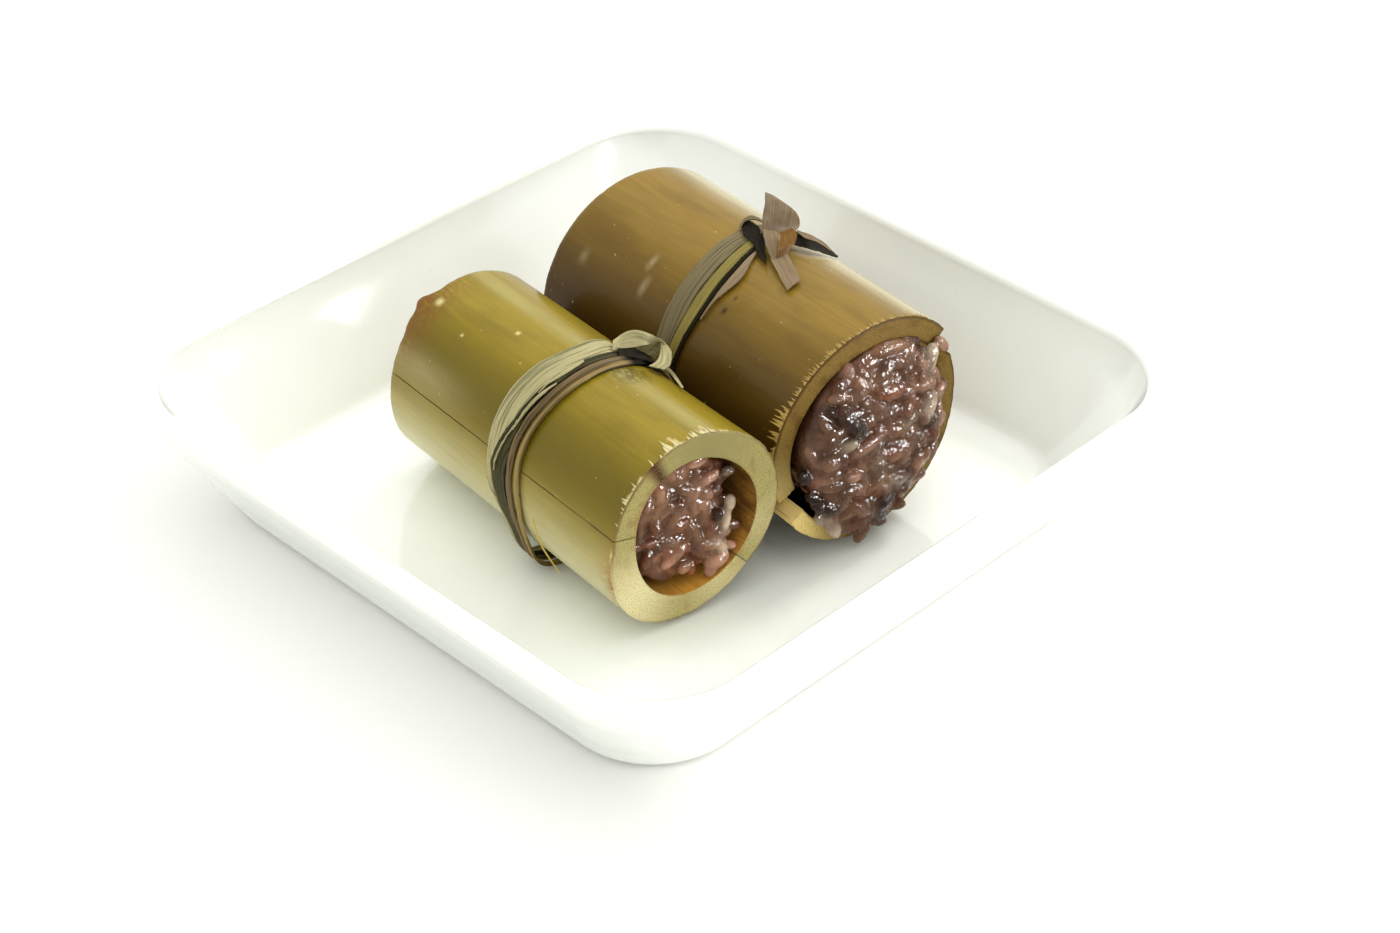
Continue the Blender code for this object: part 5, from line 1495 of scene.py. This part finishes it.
FRONT_HEROES = (
    ("mauve", 3.4, -3.6, -10.5, 4.8, -3.4, -4.4, 10.5),
    ("mauve", 3.3, -3.2, -6.2, -2.5, -3.0, -1.5, 7.4),
    ("red", 2.6, -3.9, -7.9, 0.2, -3.9, -4.7, -4.2),
    ("plum", 3.0, -4.8, -6.2, 10.6, -4.8, 0.3, 11.3),
    ("plum", 2.8, -5.2, -0.9, 12.4, -5.2, 7.1, 12.4),
    ("red", 2.6, -5.4, 6.1, 12.5, -5.4, 12.7, 9.7),
    ("pink", 3.0, -2.4, 3.0, 9.1, -2.4, 9.3, 10.4),
    ("pale", 2.6, -2.8, 10.2, 8.9, -2.6, 14.1, 8.6),
    ("pale", 3.0, -1.8, 12.4, 2.4, -1.6, 11.4, -2.2),
    ("pale", 2.4, -1.6, 11.4, -0.5, -1.2, 9.8, -7.4),
    ("pale", 2.8, -1.4, 7.0, -8.4, -0.9, 10.2, -12.4),
    ("black", 3.0, -2.2, 7.6, 0.7, -2.2, 7.6, -2.5),
    ("mauve", 2.8, -2.8, 5.1, 3.8, -2.8, 5.4, -3.8),
    ("plum", 2.4, -3.4, 8.0, 3.6, -3.6, 10.6, 5.1),
    ("pink", 2.8, -0.9, 12.3, -10.5, -0.9, 11.3, -12.5),
    ("pink", 4.4, -1.4, 3.9, -14.6, -0.5, 10.6, -12.6),
    ("pink", 3.2, -0.8, 3.4, -15.8, -0.6, 7.3, -15.3),
    ("red", 3.0, -2.8, -5.3, -1.0, -2.6, 0.2, 0.5),
    ("mauve", 3.0, -2.4, 0.0, -0.7, -2.4, 3.9, -8.1),
    ("pink", 3.2, -2.2, -8.5, -9.8, -2.2, -0.5, -5.6),
    ("mauve", 2.8, -2.0, -3.7, -12.7, -2.0, 0.8, -12.0),
    ("plum", 3.0, -3.0, -10.8, -3.1, -3.0, -13.2, -8.3),
    ("red", 2.4, -3.6, -12.9, -1.5, -3.4, -7.2, -2.4),
    ("mauve", 2.6, -1.8, -10.1, -12.0, -1.6, -4.0, -17.0),
    ("plum", 3.0, -2.4, 1.2, -8.3, -2.4, 5.4, -12.7),
    ("mauve", 2.6, -2.0, 0.3, 6.3, -2.2, 2.5, 1.1),
)


class FrontFace:
    """The open face of the front rice: inside the mouth, shrunk from the wall at the right."""

    def __init__(self, settings, culm):
        self.culm = culm
        self.clearance = settings.clearance
        self.at = culm.length - FRONT_DEPTH

    def limit(self, along, angle):
        """The radius that the rice fills."""
        opened = smoothstep(-24.0 * MM, -7.0 * MM, along - self.culm.length)
        right = 1.6 * MM * bulge(angle, -12.0, 34.0) + 3.4 * MM * bulge(angle, 9.0, 13.0)
        low = 2.0 * MM * bulge(angle, -84.0, 16.0)
        return self.culm.inner(along, angle) - self.clearance - opened * (right + low)

    def point(self, angle, part, lift=0.0):
        """A point of the face at a share of its radius, lifted towards the mouth."""
        radius = part * self.limit(self.at, angle)
        dome = 1.4 * MM * (1.0 - part ** 2)
        hollow = 3.0 * MM * bulge(angle, 12.0, 20.0) * smoothstep(0.3, 0.8, part)
        hollow = hollow + 2.4 * MM * bulge(angle, 176.0, 16.0) * smoothstep(0.5, 0.9, part)
        heap = 2.4 * MM * bulge(angle, -50.0, 30.0) * smoothstep(0.2, 0.7, part)
        lump = 0.9 * MM * noise.noise(Vector((math.cos(angle), math.sin(angle), 3.0)) * (radius / (5.0 * MM)))
        return self.culm.place(self.at + dome - hollow + heap + lump + lift, angle, radius)


def build_front_rice(settings, culm_settings):
    """Rice that fills the front culm to just inside its mouth."""
    culm = front_halves(culm_settings)[0].culm
    face = FrontFace(settings, culm)
    angles = around(72)
    base_rings = [culm.place(face.at - back * MM + 0.0 * angles, angles,
                             face.limit(face.at - back * MM, angles) - 0.6 * MM) for back in (7.0, 5.0, 3.5)]
    base_rings += [[face.point(angle, part) for angle in angles] for part in (0.93, 0.8, 0.6, 0.4, 0.2)]
    core_rings = [culm.place(along + 0.0 * angles, angles, face.limit(along, angles))
                  for along in np.linspace(NODE_WALL[1] + 0.3 * MM, face.at - 6.0 * MM, 40)]
    add_core("front_rice_core", core_rings, settings, "front_rice")

    def dim(place):
        """Less light reaches the hollows at the left and at the upper right."""
        turn, radius = polar(place - culm.middle(face.at), culm)
        hollow = max(bulge(turn, 172.0, 22.0), bulge(turn, 36.0, 14.0))
        return 1.0 - 0.55 * hollow * smoothstep(7.0 * MM, 14.0 * MM, radius)

    grains = Grains(settings, 7, WASHES["front"], dim)
    place_heroes(grains, culm, FRONT_HEROES)
    for angle, part in even_spots(grains.rng, settings.front_count, 0.92):
        spot = face.point(angle, part, grains.rng.uniform(-1.2, 0.2) * MM)
        if not grains.crowded(spot):
            grains.scatter(spot, culm.axis)
    grains.melt("front_rice_face", loft(base_rings), voxel_size(settings), "front_rice")


BACK_HEROES = (
    ("black", 4.8, 3.0, -11.8, 11.5, 4.6, -3.9, 2.7),
    ("mauve", 4.3, 1.0, 0.2, 21.5, 1.5, 11.6, 20.2),
    ("film_and_shade", 3.2, 0.3, 9.7, 20.9, 0.5, 16.6, 18.2),
    ("plum", 4.2, 2.6, 1.7, 18.7, 3.2, 10.9, 16.3),
    ("pale", 4.1, 1.3, 20.4, 16.8, 3.3, 16.5, 10.3),
    ("pink", 3.0, 0.9, 21.4, 17.3, 1.3, 24.9, 12.6),
    ("pink", 3.2, 2.7, 13.8, 16.3, 3.4, 16.1, 11.1),
    ("red", 4.6, 4.9, -0.9, 12.5, 4.6, 8.8, 10.5),
    ("pink", 3.9, 4.2, 11.4, 8.9, 3.2, 19.7, 7.1),
    ("pale", 4.3, 4.2, 18.3, 4.8, 5.1, 14.7, -1.4),
    ("black", 2.1, 4.6, 18.7, -0.4, 5.1, 15.5, -3.7),
    ("plum", 4.4, 1.3, -12.0, 15.8, 2.0, -6.9, 17.2),
    ("mauve", 4.1, 2.4, -6.1, 18.2, 4.2, -1.9, 13.6),
    ("black", 3.2, 1.2, -13.6, 11.3, 1.9, -10.8, 11.3),
    ("mauve", 3.2, 2.6, -15.9, 9.8, 4.4, -13.1, 6.7),
    ("mauve", 3.2, 2.7, -18.4, 3.7, 4.8, -13.2, 4.1),
    ("plum", 2.8, 3.4, -18.6, 1.2, 5.4, -13.6, 1.9),
    ("pink", 3.5, 6.3, -9.5, -1.1, 5.5, 3.2, 0.9),
    ("plum", 3.0, 4.4, 4.7, 2.0, 4.2, 6.0, 4.8),
    ("mauve", 3.5, 5.3, 4.0, 0.2, 5.4, 8.1, -0.6),
    ("pink", 3.6, 5.2, -17.2, -0.8, 6.3, -12.2, -1.2),
    ("plum", 2.6, 4.9, -17.4, -3.4, 6.3, -12.4, -3.0),
    ("pink", 3.2, 4.3, -19.1, -5.4, 6.1, -13.2, -5.2),
    ("red", 4.0, 5.4, -0.8, -4.7, 5.5, 7.4, -6.4),
    ("plum", 2.6, 5.5, -1.1, -6.9, 5.6, 6.4, -12.5),
    ("pink", 3.2, 6.8, -11.3, -6.2, 6.8, -6.0, -7.4),
    ("black", 3.5, 2.0, -21.7, -1.7, 2.4, -19.8, -5.5),
    ("black", 2.6, 1.3, -22.8, 4.5, 1.5, -22.3, 2.0),
    ("black", 3.2, 3.2, -20.7, -7.9, 4.3, -16.6, -12.1),
    ("black", 3.2, 4.4, -17.3, -12.0, 6.0, -12.6, -14.9),
    ("black", 2.8, 3.8, -19.6, -10.7, 4.9, -16.1, -14.0),
    ("black", 3.7, 6.9, -1.4, -18.4, 6.2, 4.5, -16.7),
    ("plum", 2.4, 5.9, 5.4, -18.2, 5.9, 10.6, -19.3),
    ("pale", 3.9, 5.9, -15.7, -15.7, 6.0, -11.7, -23.7),
    ("pale", 2.6, 4.8, -18.1, -15.2, 5.1, -15.8, -18.4),
    ("mauve", 4.1, 6.8, -9.4, -14.1, 6.8, -3.1, -20.1),
    ("pink", 3.7, 5.8, 9.6, -4.6, 5.9, 7.0, -10.8),
    ("pink", 3.5, 5.2, 13.9, -9.5, 6.4, 11.3, -15.4),
    ("pale", 3.2, 4.8, 11.2, 3.5, 5.2, 8.6, -0.7),
    ("mauve", 3.7, 5.9, -11.5, -10.4, 6.5, -4.1, -12.6),
    ("pale", 3.2, 6.2, 2.4, -13.1, 6.6, 8.5, -14.4),
    ("mauve", 3.2, 4.0, -4.1, 12.5, 4.6, -2.6, 9.3),
    ("plum", 3.2, 4.6, -5.3, 1.3, 5.3, -9.6, 0.9),
)


# For each side: seed, first and last angle, how short of the mouth in mm, and its widening in degrees
SEAMS = {"right": (17, -14.0, 5.0, 4.0, 26.0), "left": (18, 180.0, 211.0, 1.0, 6.5)}


class BackFace:
    """The body of rice between the displaced halves, swelling out of the mouth and over the lower rim."""

    def __init__(self, settings, culm_settings):
        self.upper, self.lower = back_halves(culm_settings)
        self.top, self.bottom = self.upper.culm, self.lower.culm
        self.clearance = settings.clearance
        self.mouth = self.bottom.length

    def middle(self, along):
        point = (self.top.middle(along) + self.bottom.middle(along)) * 0.5
        axis = self.bottom.axis
        return point + np.multiply.outer(along - (point - self.bottom.origin) @ axis, axis)

    def cavity(self, along, angle):
        """How far the room between the halves reaches from the middle."""
        middle, direction = self.middle(along), self.bottom.direction(angle)
        return np.minimum(*[reach(middle, direction, culm, along, self.clearance)
                            for culm in (self.top, self.bottom)])

    def drop(self, angle):
        """Where the rice hangs over the lower rim."""
        return bulge(angle, -110.0, 36.0)

    def point(self, angle, part, lift=0.0):
        """A point of the swelling face at a share of its radius."""
        spread = SPILL * self.drop(angle) * lerp(0.8, 1.0, smoothstep(0.84, 1.0, part))
        radius = part * (self.cavity(self.mouth, angle) + spread)
        sunk = 2.2 * MM * bulge(angle, 155.0, 62.0)
        rim = self.lower.near_end(angle) - self.mouth
        out = (5.2 * MM - (3.2 * MM + sunk) * part ** 4) * (1.0 - 0.25 * math.sin(angle) * part)
        direction = self.bottom.direction(angle)
        out += rim * part ** 2 + 0.8 * MM * noise.noise(Vector(direction) * (radius / (6.0 * MM)))
        return self.middle(self.mouth + out + lift) + direction * radius

    def skirt(self, angle, back, share):
        """The edge of the face, bent back over the lower rim."""
        edge = self.point(angle, 1.0) - self.middle(self.mouth)
        over_rim = self.lower.near_end(angle) + 0.45 * MM
        along = min(over_rim, self.mouth + edge @ self.bottom.axis - 0.8 * MM) - back
        radius = self.cavity(self.mouth, angle) + SPILL * self.drop(angle) * share
        return self.middle(along) + self.bottom.direction(angle) * radius

    def inside(self, along, angle, inset):
        direction = self.bottom.direction(angle)
        return self.middle(along) + direction * (self.cavity(along, angle) - inset)[..., None]


def build_back_rice(settings, culm_settings):
    """The core, the swelling face and the grains that show through the gap along both sides."""
    face = BackFace(settings, culm_settings)
    bottom, mouth = face.bottom, face.mouth
    angles = around(96)
    base_rings = [face.inside(mouth - back, angles, 0.6 * MM) for back in (6.0 * MM, 2.5 * MM)]
    base_rings.append([face.skirt(angle, 0.9 * MM * (1.0 - face.drop(angle)), 0.0) for angle in angles])
    base_rings.append([face.skirt(angle, 0.0, 0.95) for angle in angles])
    base_rings += [[face.point(angle, part, -0.25 * MM) for angle in angles]
                   for part in (0.96, 0.84, 0.7, 0.54, 0.38, 0.2)]
    core_rings = [face.inside(along, angles, 0.0)
                  for along in np.linspace(NODE_WALL[1] + settings.clearance, mouth - 4.5 * MM, 40)]
    add_core("back_rice_core", core_rings, settings, "back_rice")

    def dim(place):
        """Less light reaches the grains at the left of the mouth, and a little less the lowest ones."""
        turn, radius = polar(place - face.middle(mouth), bottom)
        shaded = max(0.5 * bulge(turn, 168.0, 52.0), 0.25 * bulge(turn, -100.0, 30.0))
        return 1.0 - shaded * smoothstep(9.0 * MM, 24.0 * MM, radius)

    grains = Grains(settings, 13, WASHES["back"], dim)
    place_heroes(grains, bottom, BACK_HEROES)
    centre = face.middle(mouth - 12.0 * MM)
    for angle, part in even_spots(grains.rng, settings.back_count, 1.0):
        part *= 0.93 + 0.03 * max(face.drop(angle), bulge(angle, 0.0, 45.0))
        spot = face.point(angle, part, grains.rng.uniform(-1.5, 0.0) * MM)
        if not grains.crowded(spot):
            grains.scatter(spot, unit(spot - centre) * 0.5 + bottom.axis * 0.5)
    grains.melt("back_rice_face", loft(base_rings), voxel_size(settings, BACK_COARSER), "back_rice")
    for side, values in SEAMS.items():
        build_seam("back_rice_seam_" + side, face, settings, *values)


def build_seam(name, face, settings, seed, first, last, short, widening):
    """Grains that fill the long gap between the halves on one side."""
    along = np.linspace(NODE_WALL[1] + 1.5 * MM, face.mouth - short * MM, 46)
    spread = widening * DEGREE * (along / face.mouth)
    angle = lerp(first * DEGREE, last * DEGREE, np.linspace(0.0, 1.0, 9)) + spread[:, None]
    sheet = [np.array([face.inside(place, row, depth) for place, row in zip(along, angle)])
             for depth in (0.7 * MM, 2.6 * MM)]
    vertices, faces, _ = skin(*sheet)
    grains = Grains(settings, seed, WASHES["seam"])
    for place, row in zip(along[1::2], angle[1::2]):
        for step in (1, 3, 5, 7):
            turn = row[step] + grains.rng.uniform(-2.0, 2.0) * DEGREE
            spot = face.inside(place + grains.rng.uniform(-1.5, 1.5) * MM, turn, 1.7 * MM)
            grains.scatter(spot, face.bottom.direction(turn))
    grains.melt(name, (vertices, faces), voxel_size(settings, SEAM_COARSER), "back_rice")


FLOOR_HALF = 4.0
FLOOR_TOP = -0.2 * MM
LAMP_AIM = Vector((0.0, 0.0, 20.0 * MM))
CAMERA_AIM = Vector((15.868 * MM, 0.039 * MM, 15.0 * MM))
LAMP_TINT = (1.0, 0.99, 0.96)
SKY_TINT = (1.0, 1.0, 0.975, 1.0)
SENSOR_WIDTH = 36.0


def add_light(name, power, sizes, location):
    """A rectangular soft light that faces the dish."""
    lamp = bpy.data.lights.new(name, "AREA")
    lamp.energy = power
    lamp.shape = "RECTANGLE"
    lamp.size, lamp.size_y = sizes
    lamp.color = LAMP_TINT
    light = put(name, lamp)
    light.location = location
    light.rotation_euler = (LAMP_AIM - light.location).to_track_quat("-Z", "Y").to_euler()
    return light


def build_stage(settings):
    """A pale table, three soft lights, light from all round, and the camera."""
    tone = settings.floor
    finish = Finish("pale_table", {"Roughness": 0.6})
    cloud = finish.noise(finish.node("ShaderNodeTexCoord", output="Object"), 3.0, 2.0)
    corners = [(x * FLOOR_HALF, y * FLOOR_HALF, FLOOR_TOP) for x, y in ((-1, -1), (1, -1), (1, 1), (-1, 1))]
    mesh = bpy.data.meshes.new("table_top")
    mesh.from_pydata(corners, [], [(0, 1, 2, 3)])
    mesh.materials.append(finish.link(Base_Color=finish.mix(cloud, darker(tone, 0.99), tone)))
    put("table_top", mesh)

    scene = bpy.context.scene
    scene.view_settings.view_transform = "Standard"
    scene.world = bpy.data.worlds.new("soft_room")
    scene.world.use_nodes = True
    background = scene.world.node_tree.nodes["Background"]
    background.inputs["Color"].default_value = SKY_TINT
    background.inputs["Strength"].default_value = settings.sky

    add_light("window", settings.key, (0.13, 0.11), (0.05, 0.62, 0.62))
    add_light("lamp", settings.glint, (0.20, 0.20), (0.76, 0.36, 0.32)).visible_diffuse = False
    add_light("ceiling", settings.ceiling, (2.2, 2.2), (-0.25, 0.35, 1.35))

    azimuth, elevation, roll = settings.azimuth, settings.elevation, settings.roll
    back = Vector((math.sin(azimuth) * math.cos(elevation), -math.cos(azimuth) * math.cos(elevation),
                   math.sin(elevation)))
    right = Vector((math.cos(azimuth), math.sin(azimuth), 0.0))
    up = back.cross(right)
    rolled_right = right * math.cos(roll) + up * math.sin(roll)
    rolled_up = up * math.cos(roll) - right * math.sin(roll)
    lens = bpy.data.cameras.new("photo_camera")
    lens.lens = settings.focal
    lens.sensor_width = SENSOR_WIDTH
    lens.clip_start, lens.clip_end = 0.01, 20.0
    facing = Matrix((rolled_right, rolled_up, back)).transposed().to_4x4()
    scene.camera = put("photo_camera", lens)
    scene.camera.matrix_world = Matrix.Translation(CAMERA_AIM + back * settings.distance) @ facing


class BAMBOO_RICE_OT_dish(bpy.types.Operator):
    """Builds the square porcelain dish"""

    bl_idname = "bamboo_rice.dish"
    bl_label = "Porcelain Dish"

    def execute(self, context):
        build_dish(context.scene.bamboo_rice_dish)
        return {"FINISHED"}


class BAMBOO_RICE_OT_front_culm(bpy.types.Operator):
    """Builds the two halves of the front culm, its node wall and its torn fibres"""

    bl_idname = "bamboo_rice.front_culm"
    bl_label = "Front Culm"

    def execute(self, context):
        build_front_culm(context.scene.bamboo_rice_front)
        return {"FINISHED"}


class BAMBOO_RICE_OT_back_culm(bpy.types.Operator):
    """Builds the two halves of the back culm, its node wall and its torn fibres"""

    bl_idname = "bamboo_rice.back_culm"
    bl_label = "Back Culm"

    def execute(self, context):
        build_back_culm(context.scene.bamboo_rice_back)
        return {"FINISHED"}


class BAMBOO_RICE_OT_front_ties(bpy.types.Operator):
    """Winds the leaf strips round the front culm and knots them"""

    bl_idname = "bamboo_rice.front_ties"
    bl_label = "Front Ties"

    def execute(self, context):
        build_front_ties(context.scene.bamboo_rice_ties, context.scene.bamboo_rice_front)
        return {"FINISHED"}


class BAMBOO_RICE_OT_back_ties(bpy.types.Operator):
    """Winds the leaf strips round the back culm and knots them"""

    bl_idname = "bamboo_rice.back_ties"
    bl_label = "Back Ties"

    def execute(self, context):
        build_back_ties(context.scene.bamboo_rice_ties, context.scene.bamboo_rice_back)
        return {"FINISHED"}


class BAMBOO_RICE_OT_front_rice(bpy.types.Operator):
    """Packs sticky rice into the front culm"""

    bl_idname = "bamboo_rice.front_rice"
    bl_label = "Front Rice"

    def execute(self, context):
        build_front_rice(context.scene.bamboo_rice_grains, context.scene.bamboo_rice_front)
        return {"FINISHED"}


class BAMBOO_RICE_OT_back_rice(bpy.types.Operator):
    """Packs sticky rice into the back culm, swelling out of its mouth"""

    bl_idname = "bamboo_rice.back_rice"
    bl_label = "Back Rice"

    def execute(self, context):
        build_back_rice(context.scene.bamboo_rice_grains, context.scene.bamboo_rice_back)
        return {"FINISHED"}


class BAMBOO_RICE_OT_stage(bpy.types.Operator):
    """Sets the table, the light and the camera"""

    bl_idname = "bamboo_rice.stage"
    bl_label = "Table, Light and Camera"

    def execute(self, context):
        build_stage(context.scene.bamboo_rice_stage)
        return {"FINISHED"}


OPERATORS = (BAMBOO_RICE_OT_dish, BAMBOO_RICE_OT_front_culm, BAMBOO_RICE_OT_back_culm,
             BAMBOO_RICE_OT_front_ties, BAMBOO_RICE_OT_back_ties, BAMBOO_RICE_OT_front_rice,
             BAMBOO_RICE_OT_back_rice, BAMBOO_RICE_OT_stage)
SETTINGS = {"bamboo_rice_dish": DishSettings, "bamboo_rice_front": FrontCulmSettings,
            "bamboo_rice_back": BackCulmSettings, "bamboo_rice_ties": TieSettings,
            "bamboo_rice_grains": RiceSettings, "bamboo_rice_stage": StageSettings}


class BAMBOO_RICE_PT_panel(bpy.types.Panel):
    """Lists the pieces in the sidebar of the 3D view"""

    bl_idname = "BAMBOO_RICE_PT_panel"
    bl_label = "Bamboo Rice"
    bl_space_type = "VIEW_3D"
    bl_region_type = "UI"
    bl_category = "Bamboo Rice"

    def draw(self, context):
        for operator in OPERATORS:
            self.layout.operator(operator.bl_idname)


def register():
    for group in (*SETTINGS.values(), *OPERATORS, BAMBOO_RICE_PT_panel):
        bpy.utils.register_class(group)
    for name, group in SETTINGS.items():
        setattr(bpy.types.Scene, name, PointerProperty(type=group))


def unregister():
    for name in SETTINGS:
        delattr(bpy.types.Scene, name)
    for group in (BAMBOO_RICE_PT_panel, *reversed(OPERATORS), *reversed(list(SETTINGS.values()))):
        bpy.utils.unregister_class(group)


def main():
    """Builds every piece."""
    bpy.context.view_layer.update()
    register()
    for operator in OPERATORS:
        family, name = operator.bl_idname.split(".")
        getattr(getattr(bpy.ops, family), name)()


if __name__ == "__main__":
    main()
